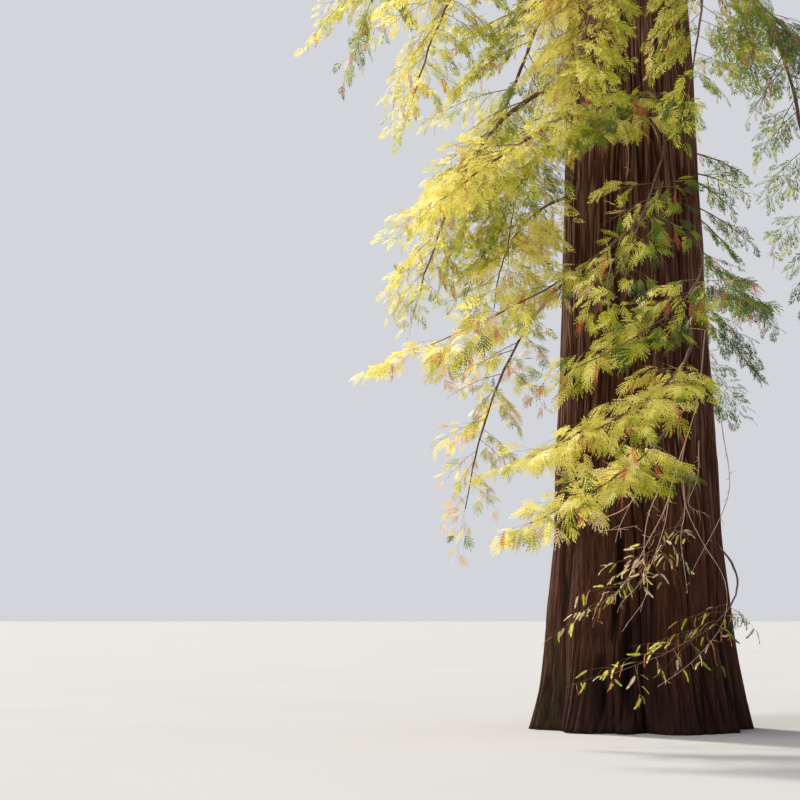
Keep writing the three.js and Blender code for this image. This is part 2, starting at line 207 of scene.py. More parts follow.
def bells(angle, centres, half_widths):
    """A bell curve round each centre: e to the minus square of how many half widths an angle is off."""
    off = np.degrees(angle)[..., None] - centres
    off -= 360 * np.round(off / 360)
    return np.exp(-((off / half_widths) ** 2))


def trunk_radius(angle, z):
    """The mean radius plus each flute: a bell curve round the trunk that fades with height."""
    angle, z = np.broadcast_arrays(angle, z)
    centre, half_width, out, fades_over = FLUTES.T
    flutes = out * bells(angle, centre, half_width) * np.exp(-z[..., None] / fades_over)
    return mean_radius(z) + flutes.sum(-1)


print("the trunk is", round(2 * float(mean_radius(0.0)), 2), "m thick at the ground")

# %% [markdown]
# ## The relief of the bark
# Old redwood bark is fibrous. Long ridges run up the trunk, split and join again round narrow dark furrows,
# and finer fibres run along the ridges. A bump map could suggest this, but the furrows are as deep as a
# finger is long, and they show at the trunk's edge. So the relief is real: smooth noise is stretched along
# the trunk, and where it passes through zero there is a furrow, because the zero lines of stretched noise
# wander, split and meet just as furrows do.

# %% Noise that closes round the trunk
NOISE_GAIN = 1.4


def smooth_step(t):
    """6t^5 - 15t^4 + 10t^3, which leaves 0 and reaches 1 without a corner."""
    return t * t * t * (t * (6 * t - 15) + 10)


def gradient_noise(u, v, cells_u, cells_v, seed):
    """Smooth noise of u and v, both from 0 to 1, that repeats round u.

    Every corner of a grid of cells has a random slope. Inside a cell the four slopes' heights are blended
    with the smooth step, and the gain brings the result to about -1 to 1.
    """
    slopes = np.random.default_rng(seed).random((cells_v + 2, cells_u)) * 2 * np.pi
    x, y = u * cells_u, v * cells_v
    x0, y0 = np.floor(x).astype(int), np.clip(np.floor(y).astype(int), 0, cells_v)
    fx, fy = x - x0, y - y0

    def height(i, j):
        slope = slopes[np.clip(y0 + j, 0, cells_v + 1), (x0 + i) % cells_u]
        return np.cos(slope) * (fx - i) + np.sin(slope) * (fy - j)

    near = lerp(height(0, 0), height(1, 0), smooth_step(fx))
    far = lerp(height(0, 1), height(1, 1), smooth_step(fx))
    return NOISE_GAIN * lerp(near, far, smooth_step(fy))


both_ends = gradient_noise(np.array([0.0, 1.0]), np.array([0.3, 0.3]), 38, 26, 11)
print("the noise's two ends, which meet at the back of the trunk:", np.round(both_ends, 3))

# %% Furrows and ridges
# How many cells of noise go round the trunk, how long each is in metres, and how wide a furrow is
MAIN = {"around": 40, "length": 2.3, "width": 0.16, "seed": 11}
FINE = {"around": 124, "length": 0.8, "width": 0.3, "seed": 23}
WEAVE = 0.8
# The noises that move the furrows and vary their strength have wider cells round the trunk than the furrows'
WEAVE_WIDER = 4
WEAVE_PER_LENGTH = 1.5
STRENGTH_WIDER = 3
MEAN_STRENGTH = 0.75
LEAST_STRENGTH = 0.3
ROUNDING = 0.6


def furrows(u, z, around, length, width, seed):
    """0 in a furrow and 1 on a ridge: how far the noise is from zero, cut off at the furrow's width.

    Slower noise moves the furrows sideways by up to WEAVE ridges, and lets them run shallow here and there.
    """
    share, top = z / TREE_HEIGHT, int(TREE_HEIGHT / length)
    sway = gradient_noise(u, share, around // WEAVE_WIDER, int(top * WEAVE_PER_LENGTH), seed + 1)
    noise = gradient_noise(u + WEAVE * sway / around, share, around, top, seed)
    strength = MEAN_STRENGTH + gradient_noise(u, share, around // STRENGTH_WIDER, top, seed + 2)
    strength = np.clip(strength, LEAST_STRENGTH, 1)
    return 1 - strength * (1 - np.clip(np.abs(noise) / width, 0, 1) ** ROUNDING)


ridge_width = 2 * math.pi * float(mean_radius(1.0)) / MAIN["around"]
print("low on the trunk a ridge is about", round(100 * ridge_width), "cm wide")

# %% [markdown]
# ## Hollows at the foot
# Fire and rot have left deep narrow hollows between the buttresses, painted black as shade. Noise would
# put them anywhere, so each has a place of its own in a short table, and fades out at both of its ends.

# %% Hollows
# Angle and half width in degrees, lowest and highest z, depth
HOLLOWS = np.array([
    (-112, 2.4, 0.72, 1.75, 0.10), (-103, 3.6, 0.08, 0.90, 0.15), (-119, 2.6, 0.06, 0.64, 0.09),
    (-84, 1.8, 0.05, 0.50, 0.08), (-38, 2.6, 0.10, 1.50, 0.09), (-163, 2.2, 0.05, 0.42, 0.07),
    (60, 2.6, 0.10, 0.90, 0.10), (118, 2.4, 0.15, 1.10, 0.09),
])
HOLLOW_SWAY = 3
SWAYS_PER_METRE = 3
HOLLOW_ENDS = 0.6


def hollow_depth(angle, z):
    """How deep the hollows are: each is a bell curve round the trunk, which sways a little as it goes up.

    Along it the depth goes with 4 s (1 - s), where s is the share of the way up it, so it fades at both ends.
    """
    centre, half_width, low, high, depth = HOLLOWS.T
    sway = HOLLOW_SWAY * np.sin(SWAYS_PER_METRE * z)[..., None]
    s = np.clip((z[..., None] - low) / (high - low), 0, 1)
    return (depth * bells(angle, centre - sway, half_width) * (4 * s * (1 - s)) ** HOLLOW_ENDS).sum(-1)


print(len(HOLLOWS), "hollows, up to", round(100 * HOLLOWS[:, 4].max()), "cm deep")

# %% The whole relief
FURROW_DEPTH = 0.044
FINE_DEPTH = 0.02
PLATE_DEPTH = 0.02
PLATE_CELLS = (14, 60)
PLATE_SEED = 31
RIDGE_LEVEL = 0.8
FINE_LEVEL = 0.7
MAIN_SHARE = 0.45
PLATE_SHARE = 0.1
CLEFT_DEEPEST = 0.2
# How strongly painted shade darkens clefts, hollows and the foot, and over what height it fades at the foot
CLEFT_SHADE = 1.1
HOLLOW_SHADE = 12
FOOT_SHADE = 0.74
FOOT_SHADE_HEIGHT = 0.9
THINNING = 0.8


def bark_height(angle, z):
    """How far the bark stands out of the trunk's radius, and the relief from 0 in a furrow to 1 on a ridge.

    The bark is the sum of main furrows, fine ones on the ridges, and broad plates, and it gets thinner with
    the trunk. Clefts, hollows and the foot count as deeper in the relief, so that painted shade darkens them.
    """
    u = angle / (2 * np.pi) + 0.5
    main, fine = furrows(u, z, **MAIN), furrows(u, z, **FINE)
    plates = gradient_noise(u, z / TREE_HEIGHT, *PLATE_CELLS, PLATE_SEED)
    relief = MAIN_SHARE * main * (1 + fine) + PLATE_SHARE * (0.5 + plates)
    depth = FURROW_DEPTH * (main - RIDGE_LEVEL) + PLATE_DEPTH * plates
    depth += FINE_DEPTH * (fine - FINE_LEVEL) * main
    girth = (mean_radius(z) / mean_radius(1.0)) ** THINNING
    hollow = hollow_depth(angle, z)
    cleft = np.clip(mean_radius(z) - trunk_radius(angle, z), 0, CLEFT_DEEPEST) / CLEFT_DEEPEST
    shade = CLEFT_SHADE * cleft + HOLLOW_SHADE * hollow + FOOT_SHADE * np.exp(-z / FOOT_SHADE_HEIGHT)
    return depth * girth - hollow, relief - shade


round_it = np.linspace(-math.pi, math.pi, 500)
bark = bark_height(round_it, np.full_like(round_it, 3.0))[0]
print("3 m up, the bark's relief is", round(100 * float(np.ptp(bark)), 1), "cm deep")

# %% [markdown]
# ## Colours that vary
# No part of a tree has one flat colour. One small group of nodes gives every material its mottling:
# stretched noise mixes a dark and a light colour, and the same noise comes out as a height for a bump. It
# reads Object coordinates, so it needs no unwrapping and sticks to the piece. Making a node, setting it and
# linking it are always the same three steps, so one helper does them.


# %% Nodes and their links
# Where a mix node has its two colours and their mixture, among the sockets for other kinds of values
FIRST_COLOUR = 6
SECOND_COLOUR = 7
MIXED_COLOUR = 2


def add_node(tree, kind, inputs=(), **settings):
    """A node with its settings made. Each input takes another node's output or a plain value."""
    node = tree.nodes.new(kind)
    for name, value in settings.items():
        setattr(node, name, value)
    for socket, value in dict(inputs).items():
        if isinstance(value, bpy.types.NodeSocket):
            tree.links.new(value, node.inputs[socket])
        else:
            node.inputs[socket].default_value = value
    return node


def blend_colours(tree, factor, first, second):
    """Two colour outputs mixed by a factor output."""
    inputs = {"Factor": factor, FIRST_COLOUR: first, SECOND_COLOUR: second}
    return add_node(tree, "ShaderNodeMix", inputs, data_type="RGBA").outputs[MIXED_COLOUR]


print("a mix node's colours are its sockets", FIRST_COLOUR, "and", SECOND_COLOUR)

# %% The mottling group
MOTTLE_INPUTS = [
    ("Dark", "NodeSocketColor", (0.1, 0.05, 0.03, 1)), ("Light", "NodeSocketColor", (0.3, 0.2, 0.1, 1)),
    ("Scale", "NodeSocketFloat", 10.0), ("Stretch", "NodeSocketFloat", 1.0),
    ("Contrast", "NodeSocketFloat", 2.0),
]
MOTTLE_OUTPUTS = [("Color", "NodeSocketColor"), ("Height", "NodeSocketFloat")]
NOISE_DETAIL = 3.0
MIDDLE = 0.5


def mottle_group():
    """Dark and Light are mixed by noise, whose cells are Stretch times as tall as they are wide.

    The share of Light is (noise - 0.5) times Contrast, plus 0.5, kept between 0 and 1.
    """
    group = bpy.data.node_groups.new("mottle", "ShaderNodeTree")
    for name, kind, value in MOTTLE_INPUTS:
        group.interface.new_socket(name, in_out="INPUT", socket_type=kind).default_value = value
    for name, kind in MOTTLE_OUTPUTS:
        group.interface.new_socket(name, in_out="OUTPUT", socket_type=kind)
    given = add_node(group, "NodeGroupInput").outputs
    place = add_node(group, "ShaderNodeTexCoord").outputs["Object"]
    tall = add_node(group, "ShaderNodeMath", {0: given["Scale"], 1: given["Stretch"]}, operation="DIVIDE")
    size = add_node(group, "ShaderNodeCombineXYZ", {0: given["Scale"], 1: given["Scale"], 2: tall.outputs[0]})
    scaled = add_node(group, "ShaderNodeVectorMath", {0: place, 1: size.outputs[0]}, operation="MULTIPLY")
    inputs = {"Vector": scaled.outputs[0], "Scale": 1.0, "Detail": NOISE_DETAIL}
    noise = add_node(group, "ShaderNodeTexNoise", inputs).outputs["Fac"]
    level = add_node(group, "ShaderNodeMath", {0: noise, 1: MIDDLE}, operation="SUBTRACT")
    inputs = {0: level.outputs[0], 1: given["Contrast"], 2: MIDDLE}
    share = add_node(group, "ShaderNodeMath", inputs, operation="MULTIPLY_ADD", use_clamp=True).outputs[0]
    colour = blend_colours(group, share, given["Dark"], given["Light"])
    add_node(group, "NodeGroupOutput", {"Color": colour, "Height": share})
    return group


MOTTLE = mottle_group()
print("the mottling group's sockets are", *[item.name for item in MOTTLE.interface.items_tree])


# %% Put the group into a material
def mottle(tree, dark, light, scale, stretch, contrast):
    """The mottling group placed in a material, with its values set."""
    inputs = {
        "Dark": (*dark, 1), "Light": (*light, 1), "Scale": scale, "Stretch": stretch, "Contrast": contrast,
    }
    return add_node(tree, "ShaderNodeGroup", inputs, node_tree=MOTTLE)


def new_material(name, roughness, specular):
    """A material with a Principled shader, whose plain numbers are set on the shader itself."""
    material = bpy.data.materials.new(name)
    material.use_nodes = True
    shader = material.node_tree.nodes["Principled BSDF"]
    shader.inputs["Roughness"].default_value = roughness
    shader.inputs["Specular IOR Level"].default_value = specular
    return material, material.node_tree, shader


def add_bump(tree, shader, height, strength, distance):
    """A bump from a height output into the shader's normal."""
    bump = add_node(tree, "ShaderNodeBump", {"Strength": strength, "Distance": distance, "Height": height})
    tree.links.new(bump.outputs["Normal"], shader.inputs["Normal"])


print("materials so far:", len(bpy.data.materials))

# %% [markdown]
# ## The bark's material
# The bark's colour goes by height in the relief. Furrows are painted nearly black and hollows black, as
# painted shade; the sides of the ridges are red brown, and their tops are grey tan. The mesh carries its
# own relief as a number at every point, and the material picks the colour by that number, so colour and
# shape can't drift apart. Moss is a second number.

# %% Colours and masks of the bark
# Painted shade: the hollow and furrow colours are nearly black, darker than the bark's own colour
HOLLOW_COLOUR = (0.0012, 0.0007, 0.0006)
FURROW_COLOUR = (0.007, 0.003, 0.002)
RED_BROWN = (0.034, 0.011, 0.006)
WARM_BROWN = (0.080, 0.027, 0.014)
GREY_TAN = (0.190, 0.100, 0.062)
MOSS_DARK = (0.017, 0.011, 0.004)
MOSS_LIGHT = (0.042, 0.033, 0.009)
# The relief over which a hollow turns into a furrow, that into the side of a ridge, and that into its top
OUT_OF_THE_HOLLOW = (-1.2, -0.4)
OUT_OF_THE_FURROW = (0.12, 0.66)
ONTO_THE_RIDGE = (0.74, 0.98)


def range_of(tree, value, low, high):
    """A value output stretched so that low becomes 0 and high becomes 1."""
    inputs = {"Value": value, "From Min": low, "From Max": high}
    return add_node(tree, "ShaderNodeMapRange", inputs, interpolation_type="SMOOTHSTEP").outputs["Result"]


def read_attribute(tree, name):
    """The number that the mesh carries at each point under a name."""
    return add_node(tree, "ShaderNodeAttribute", attribute_name=name).outputs["Fac"]


print("the lightest bark is", round(GREY_TAN[0] / FURROW_COLOUR[0]), "times as red as a furrow")


# %% The bark's material
def bark_material():
    """Painted shade: hollows black, furrows nearly so. Ridges red brown with grey tan tops, moss over them.
    """
    material, tree, shader = new_material("redwood_bark", roughness=0.92, specular=0.15)
    deep = mottle(tree, HOLLOW_COLOUR, FURROW_COLOUR, scale=25, stretch=12, contrast=1.0)
    dark = mottle(tree, FURROW_COLOUR, RED_BROWN, scale=25, stretch=12, contrast=1.0)
    fibres = mottle(tree, RED_BROWN, WARM_BROWN, scale=62, stretch=16, contrast=3.4)
    grey_tops = mottle(tree, WARM_BROWN, GREY_TAN, scale=85, stretch=20, contrast=3.6)
    moss = mottle(tree, MOSS_DARK, MOSS_LIGHT, scale=30, stretch=2, contrast=2.5)
    # The relief number is also lowered by painted shade in clefts, hollows and at the foot
    relief = read_attribute(tree, "relief")
    side, top = range_of(tree, relief, *OUT_OF_THE_FURROW), range_of(tree, relief, *ONTO_THE_RIDGE)
    ridges = blend_colours(tree, top, fibres.outputs["Color"], grey_tops.outputs["Color"])
    open_bark = range_of(tree, relief, *OUT_OF_THE_HOLLOW)
    furrow = blend_colours(tree, open_bark, deep.outputs["Color"], dark.outputs["Color"])
    bark = blend_colours(tree, side, furrow, ridges)
    mossy = blend_colours(tree, read_attribute(tree, "moss"), bark, moss.outputs["Color"])
    tree.links.new(mossy, shader.inputs["Base Color"])
    add_bump(tree, shader, fibres.outputs["Height"], strength=0.8, distance=0.010)
    return material


BARK = bark_material()
print("the bark's material has", len(BARK.node_tree.nodes), "nodes")

# %% [markdown]
# ## The trunk
# The trunk is one grid of points: columns round it and rows up it, each point as far out as the radius and
# the relief say. Rows lie closest where the camera is closest. A mesh file keeps all its detail only up to
# a certain size, so the trunk is built in three lengths, and where two meet they share the same ring of
# points.

# %% Where moss grows
MOSS_SIDE = math.radians(-165)
MOSS_BREADTH = 0.4
MOSS_TOP = 1.5
MOSS_MOST = 0.5
MOSS_BY_PLACE = 2.0
MOSS_BY_PATCH = 1.1
MOSS_LEVEL = 0.9
# The cells round and up of two noises, and their seeds
BROAD_PATCHES = (26, 120, 41)
SMALL_PATCHES = (70, 400, 43)
SMALL_PATCH_WEIGHT = 0.5


def moss_share(angle, z):
    """Moss grows on the lower left: most at MOSS_SIDE, fading round the trunk and upwards, in patches."""
    u, share = angle / (2 * np.pi) + 0.5, z / TREE_HEIGHT
    patches = gradient_noise(u, share, *BROAD_PATCHES)
    patches += SMALL_PATCH_WEIGHT * gradient_noise(u, share, *SMALL_PATCHES)
    turned = (angle - MOSS_SIDE + np.pi) % (2 * np.pi) - np.pi
    reach = np.exp(-((turned / MOSS_BREADTH) ** 2)) * np.clip(1 - z / MOSS_TOP, 0, 1)
    return np.clip(MOSS_BY_PLACE * reach + MOSS_BY_PATCH * patches - MOSS_LEVEL, 0, MOSS_MOST)


moss = moss_share(round_it, np.full_like(round_it, 0.5))
print("half a metre up,", round(100 * float((moss > 0).mean())), "% of the way round has some moss")

# %% Build the trunk
# Name, lowest and highest z, columns round and rows up
TRUNK_LENGTHS = [
    ("trunk_base", 0.0, 6.6, 640, 150),
    ("trunk_middle", 6.6, 18.0, 320, 180),
    ("trunk_top", 18.0, TRUNK_TOP, 160, 160),
]


def trunk_length(name, low, high, columns, rows):
    """One length of trunk. At angle a its x and y are (radius + bark) times the cosine and sine of a."""
    angle, z = np.meshgrid(
        np.arange(columns) * 2 * np.pi / columns - np.pi, np.linspace(low, high, rows + 1)
    )
    bark, relief = bark_height(angle, z)
    r = trunk_radius(angle, z) + bark
    points = np.stack([r * np.cos(angle), r * np.sin(angle), z], axis=-1)
    if high < TRUNK_TOP:
        # The next length has half as many columns, so here every second point lies between its neighbours.
        points[-1, 1::2] = (points[-1, 0::2] + np.roll(points[-1, 0::2], -1, axis=0)) / 2
    points = points.reshape(-1, 3)
    index = np.arange((rows + 1) * columns).reshape(rows + 1, columns)
    after = np.roll(index, -1, axis=1)
    walls = np.stack([index[:-1], after[:-1], after[1:], index[1:]], axis=-1).reshape(-1, 4)
    faces = [walls]
    if low == 0:
        faces.append(index[0, ::-1][None])
    if high == TRUNK_TOP:
        faces.append(index[-1][None])
    piece = mesh_piece(name, points, faces, BARK, smooth=True)
    # The relief attribute carries the painted shade of clefts, hollows and the foot too
    for attribute, values in [("relief", relief), ("moss", moss_share(angle, z))]:
        layer = piece.data.attributes.new(attribute, "FLOAT", "POINT")
        layer.data.foreach_set("value", values.ravel().astype(np.float32))
    fit(piece, ["trunk"])


for row in TRUNK_LENGTHS:
    trunk_length(*row)

# %% [markdown]
# ## The limbs
# Every limb is one smooth curve, with its root inside the trunk, a point that it passes halfway, and its
# tip. The model's own numbers are repeated here. The thirteen low limbs hang where the photograph shows
# them, four more fill the back and the right, and the crown's limbs leave the trunk a golden turn apart,
# which is how real branches avoid shading each other.

# %% The model's own numbers
# The model counts in millimetres
METRE = 1000
ROOT_DEPTH = 0.45
LIMB_TAPER = 0.2
LIMB_SWING = 15
# Name, azimuth, height, the halfway point, the tip, and the share of the limb that is bare
LOW_LIMBS = [
    ("front_high", -92, 7.5, (-0.35, -1.75, 6.6), (-0.75, -2.4, 4.9), 0.3),
    ("right_high", -62, 7.2, (0.35, -1.65, 6.5), (0.15, -2.3, 5.0), 0.3),
    ("left_high", -148, 7.3, (-1.25, -1.05, 6.7), (-1.95, -1.7, 5.1), 0.28),
    ("left_mid", -160, 5.7, (-1.25, -0.75, 5.1), (-1.9, -1.15, 3.6), 0.26),
    ("fringe", -100, 5.6, (-0.75, -1.35, 5.0), (-1.75, -2.0, 4.15), 0.3),
    ("steep_sweep", -32, 5.6, (0.0, -1.55, 4.5), (-0.6, -2.3, 3.2), 0.5),
    ("left_sweep", -18, 5.0, (-0.35, -1.3, 3.95), (-1.85, -1.7, 3.05), 0.5),
    ("right_mid", -15, 4.5, (0.3, -1.5, 3.6), (-0.75, -2.2, 2.8), 0.42),
    ("sunlit", -22, 3.7, (0.1, -1.7, 2.85), (-1.1, -2.5, 2.1), 0.42),
    ("lower_sunlit", -34, 3.1, (0.0, -1.35, 2.35), (-1.08, -1.9, 1.65), 0.45),
    ("left_low", -172, 4.1, (-1.1, -0.75, 3.2), (-1.55, -1.3, 1.8), 0.32),
    ("hanging", -42, 2.5, (0.2, -1.15, 1.75), (-0.65, -1.6, 0.95), 0.48),
    ("lowest", -12, 1.8, (0.65, -0.95, 1.1), (-0.5, -1.75, 0.5), 0.46),
]
LOW_SIZE = {"thick": 0.028, "twigs": 10, "twig": 0.8, "roll": 30, "kind": "low"}
# The low limbs that differ from the rest: two carry more twigs, most of those that hang low have short ones,
# and those that cross in front of the trunk are thinner than those at its left
OWN_SIZES = {
    "front_high": {"twigs": 12},
    "steep_sweep": {"thick": 0.017, "twig": 0.62},
    "left_sweep": {"thick": 0.018},
    "right_mid": {"thick": 0.018},
    "sunlit": {"thick": 0.018, "twigs": 12, "twig": 0.52},
    "lower_sunlit": {"thick": 0.016, "twig": 0.5},
    "left_low": {"thick": 0.02, "twig": 0.6},
    "hanging": {"thick": 0.012, "twigs": 6, "twig": 0.46},
    "lowest": {"thick": 0.012, "twigs": 6, "twig": 0.46},
}
# The limbs that carry the dense foliage high on the left, as against those that cross in front below it
DENSE = {"front_high", "right_high", "left_high", "left_mid", "fringe"}
BACK_LIMBS = [
    (10, 6.9, 2.0, 2.3, 0.3), (58, 5.6, 2.3, 2.4, 0.3), (108, 7.8, 2.5, 2.7, 0.3), (152, 9.3, 2.4, 2.6, 0.3),
]
BACK_HALF = (0.66, 0.2)
BACK_SIZE = {"thick": 0.042, "twigs": 11, "twig": 1.35, "roll": 40, "kind": "back"}
LOWER_CROWN = {"count": 4, "start": 12.3, "end": 16.8, "turn": 15, "bare": 0.3}
UPPER_CROWN = {"count": 16, "start": 18.2, "end": 38.2, "turn": 60, "bare": 0}
CROWN_WIDEST = 3.5
CROWN_FOOT = 11
CROWN_SHOULDER = 18
CROWN_FOOT_SHARE = 0.85
CROWN_POINTEDNESS = 0.72
CROWN_UNEVENNESS = 0.24
CROWN_HALF_REACH = 0.55
GOLDEN_TURN = 137.5
LIMB_THICKNESS = (0.085, 0.03)
LIMB_RISE = (-0.04, 0.2)
LIMB_DROP = (0.5, -0.2)
TWIG_LENGTH = (2.75, 1.1)
TWIG_COUNT = (21, 12)
CROWN_ROLL = 62
LEADER_SIZE = {"thick": 0.0126, "twigs": 6, "twig": 0.52, "roll": 70, "kind": "crown"}
LEADER_TIP = (0.03, -0.02, TREE_HEIGHT - 0.43)
print("the lowest limb leaves the trunk", min(row[2] for row in LOW_LIMBS), "m up")

# %% The rules for a limb
CHANCE_STEPS = (12.9898, 78.233)
CHANCE_GAIN = 43758.5453


def chance(a, b):
    """The model's own number from 0 to 1 that looks random, so that the same twigs grow here.

    It is what a steep sine of both numbers has after its decimal point.
    """
    x = np.sin(a * CHANCE_STEPS[0] + b * CHANCE_STEPS[1]) * CHANCE_GAIN
    return x - np.floor(x)


def around(azimuth, distance, height):
    """A point at an azimuth in degrees, a distance from the trunk's axis and a height."""
    angle = math.radians(azimuth)
    return np.array([distance * math.cos(angle), distance * math.sin(angle), height])


def make_limb(name, azimuth, height, half, tip, bare, size):
    """A quadratic curve. It passes the halfway point if its bend is twice that, less half of both ends."""
    r = float(trunk_radius(math.radians(azimuth), height))
    root = around(azimuth, r * (1 - ROOT_DEPTH), height)
    half, tip = np.array(half), np.array(tip)
    return {"name": name, "bare": bare, "root": root, "bend": 2 * half - (root + tip) / 2, "tip": tip, **size}


def back_limb(index, azimuth, height, reach, drop, bare):
    """A limb at the back, by its reach and drop: its halfway point lies at fixed shares of both."""
    half = around(azimuth, reach * BACK_HALF[0], height - drop * BACK_HALF[1])
    tip = around(azimuth + LIMB_SWING, reach, height - drop)
    return make_limb(f"back_{index + 1}", azimuth, height, half, tip, bare, BACK_SIZE)


def crown_reach(height):
    """The crown widens from its foot to its shoulder and then narrows to the top."""
    if height < CROWN_SHOULDER:
        up = (height - CROWN_FOOT) / (CROWN_SHOULDER - CROWN_FOOT)
        return CROWN_WIDEST * lerp(CROWN_FOOT_SHARE, 1, up)
    return CROWN_WIDEST * ((TREE_HEIGHT - height) / (TREE_HEIGHT - CROWN_SHOULDER)) ** CROWN_POINTEDNESS


def crown_limb(name, k, rule, share=1, turns=1):
    """Limb k of a part of the crown. The lowest limbs droop, and the highest rise."""
    height = lerp(rule["start"], rule["end"], k / (rule["count"] - 1))
    azimuth = rule["turn"] + k * turns * GOLDEN_TURN
    up = (height - CROWN_FOOT) / (TREE_HEIGHT - CROWN_FOOT)
    reach = share * crown_reach(height) * (1 + CROWN_UNEVENNESS * (chance(k, rule["turn"]) - 0.5))
    half = around(azimuth, reach * CROWN_HALF_REACH, height + lerp(*LIMB_RISE, up) * reach)
    tip = around(azimuth + LIMB_SWING, reach, height - lerp(*LIMB_DROP, up) * reach)
    size = {
        "thick": share * lerp(*LIMB_THICKNESS, up), "twigs": math.floor(share * lerp(*TWIG_COUNT, up) + 0.5),
        "twig": share * lerp(*TWIG_LENGTH, up), "roll": CROWN_ROLL, "kind": "crown",
    }
    return make_limb(f"{name}_{k + 1}", azimuth, height, half, tip, rule["bare"], size)


def leader():
    """The tip of the tree, on top of the trunk."""
    root, tip = np.array([0.0, 0.0, TRUNK_TOP]), np.array(LEADER_TIP)
    return {"name": "leader", "bare": 0, "root": root, "bend": (root + tip) / 2, "tip": tip, **LEADER_SIZE}


print("the crown reaches", round(crown_reach(CROWN_SHOULDER), 1), "m out at its widest")


# %% Make every limb
def low_limb(row):
    """A low limb with the usual size, apart from what its own row says."""
    kind = {"kind": "dense" if row[0] in DENSE else "low"}
    return make_limb(*row, LOW_SIZE | kind | OWN_SIZES.get(row[0], {}))


limbs = [low_limb(row) for row in LOW_LIMBS]
limbs += [back_limb(i, *row) for i, row in enumerate(BACK_LIMBS)]
limbs += [crown_limb("lower_crown", k, LOWER_CROWN) for k in range(LOWER_CROWN["count"])]
limbs += [crown_limb("upper_crown", k, UPPER_CROWN) for k in range(UPPER_CROWN["count"])]
limbs.append(leader())
print(len(limbs), "limbs, and the model has", sum(n.startswith("foliage_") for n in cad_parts), "masses")

# %% Points along a limb
SMALL_STEP = 0.01


def limb_point(limb, t):
    """The quadratic curve at each t: (1-t)^2 root + 2t(1-t) bend + t^2 tip."""
    t = np.asarray(t, float)[..., None]
    return (1 - t) ** 2 * limb["root"] + 2 * t * (1 - t) * limb["bend"] + t ** 2 * limb["tip"]


def limb_frame(limb, t):
    """The directions along the limb at each t, level and square to it, and square to both."""
    t = np.asarray(t)
    along = unit(limb_point(limb, t + SMALL_STEP) - limb_point(limb, t - SMALL_STEP))
    aside = unit(np.cross(along, UP))
    return along, aside, np.cross(aside, along)


spans = [np.hypot(*limb_point(limb, 1.0)[:2]) for limb in limbs]
print("the widest limb ends", round(float(max(spans)), 2), "m from the trunk's axis")

# %% [markdown]
# ## Room for each mass
# In the model no two masses touch. Each keeps to the space that is nearer to its own limb's stem than to
# any other. Leaves that cross a neighbour's would look tangled, so the new ones keep to the same rule.

# %% Whose space a point is in
SPINE_POINTS = 10
SPINE_START = 0.2
KEEP_CLEAR = 0.04
MODEL_LIMBS = len(limbs)
OWNERS = np.repeat(np.arange(MODEL_LIMBS), SPINE_POINTS)
SPINES = np.concatenate([
    limb_point(limb, np.linspace(max(limb["bare"], SPINE_START), 1, SPINE_POINTS)) for limb in limbs
])
# How many points are measured at once, so that the table of distances stays small
BATCH = 4000


def is_free(owner, points):
    """True where a point is nearer to its own limb's stem than to any other, and clear of trunk and ground.

    The small boughs and short limbs, which are added next, fill what is left between the others, so they
    only keep clear of trunk and ground.
    """
    flat = points.reshape(-1, 3)
    radius = trunk_radius(np.arctan2(flat[:, 1], flat[:, 0]), flat[:, 2])
    free = (np.hypot(flat[:, 0], flat[:, 1]) > radius + KEEP_CLEAR) | (flat[:, 2] > TRUNK_TOP)
    free &= (flat[:, 2] > KEEP_CLEAR) & (flat[:, 2] < TREE_HEIGHT)
    if owner < MODEL_LIMBS:
        for start in range(0, len(flat), BATCH):
            away = np.linalg.norm(flat[start:start + BATCH, None] - SPINES, axis=-1)
            own, other = away[:, OWNERS == owner].min(1), away[:, OWNERS != owner].min(1)
            free[start:start + BATCH] &= own + KEEP_CLEAR < other
    return free.reshape(points.shape[:-1])


print("the first limb's tip is in its own space:", bool(is_free(0, limbs[0]["tip"])))

# %% What the model's box holds
# How far outside it a branchlet, a shoot or a fan may end
BOX_MARGIN = 0.05


def in_the_box(points):
    """True where a point lies in the model's box, give or take the margin."""
    low, high = np.array(cad_box[0]) - BOX_MARGIN, np.array(cad_box[1]) + BOX_MARGIN
    return ((points > low) & (points < high)).all(1)


tips = np.array([limb["tip"] for limb in limbs])
print(in_the_box(tips).sum(), "of", len(tips), "limbs end in the model's box")

# %% [markdown]
# ## Small boughs low down
# Between the model's low boughs hang smaller ones: one in front of the trunk high up, and two at its left,
# where the photograph shows no gap between the foliage and the trunk. They are limbs like the others.

# %% Add the small boughs
SMALL_LIMBS = [
    ("across", -50, 5.5, (0.12, -1.0, 5.3), (-0.55, -1.5, 4.85), 0.35),
    ("left_inner", -150, 5.2, (-0.95, -0.9, 4.75), (-1.2, -1.45, 3.75), 0.3),
    ("left_inner_low", -168, 4.7, (-1.0, -0.6, 4.3), (-1.3, -1.15, 3.45), 0.3),
]
SMALL_SIZES = {
    "across": {"thick": 0.011, "twigs": 9, "twig": 0.42},
    "left_inner": {"thick": 0.018, "twig": 0.62, "kind": "dense"},
    "left_inner_low": {"thick": 0.018, "twig": 0.6, "kind": "dense"},
}
limbs += [make_limb(*row, LOW_SIZE | SMALL_SIZES[row[0]]) for row in SMALL_LIMBS]
print(len(SMALL_LIMBS), "small boughs added")

# %% [markdown]
# ## Short limbs in between
# A real crown has hundreds of limbs, and the model has room for twenty. Three short ones after each of the
# model's close the gaps near the trunk. They follow the same rule, so they need no numbers of their own but
# their share of the reach.

# %% Add the short limbs
INNER_SHARE = 0.72
BETWEEN = (0.25, 0.5, 0.75)
# Three short limbs and a long one make four, so many golden turns lie between one long limb and the next
INNER_TURNS = 4
for rule in (LOWER_CROWN, UPPER_CROWN):
    for k in range(rule["count"]):
        limbs += [crown_limb("inner", k + extra, rule, INNER_SHARE, INNER_TURNS) for extra in BETWEEN]
print(len(limbs) - MODEL_LIMBS - len(SMALL_LIMBS), "short limbs added between the crown's")

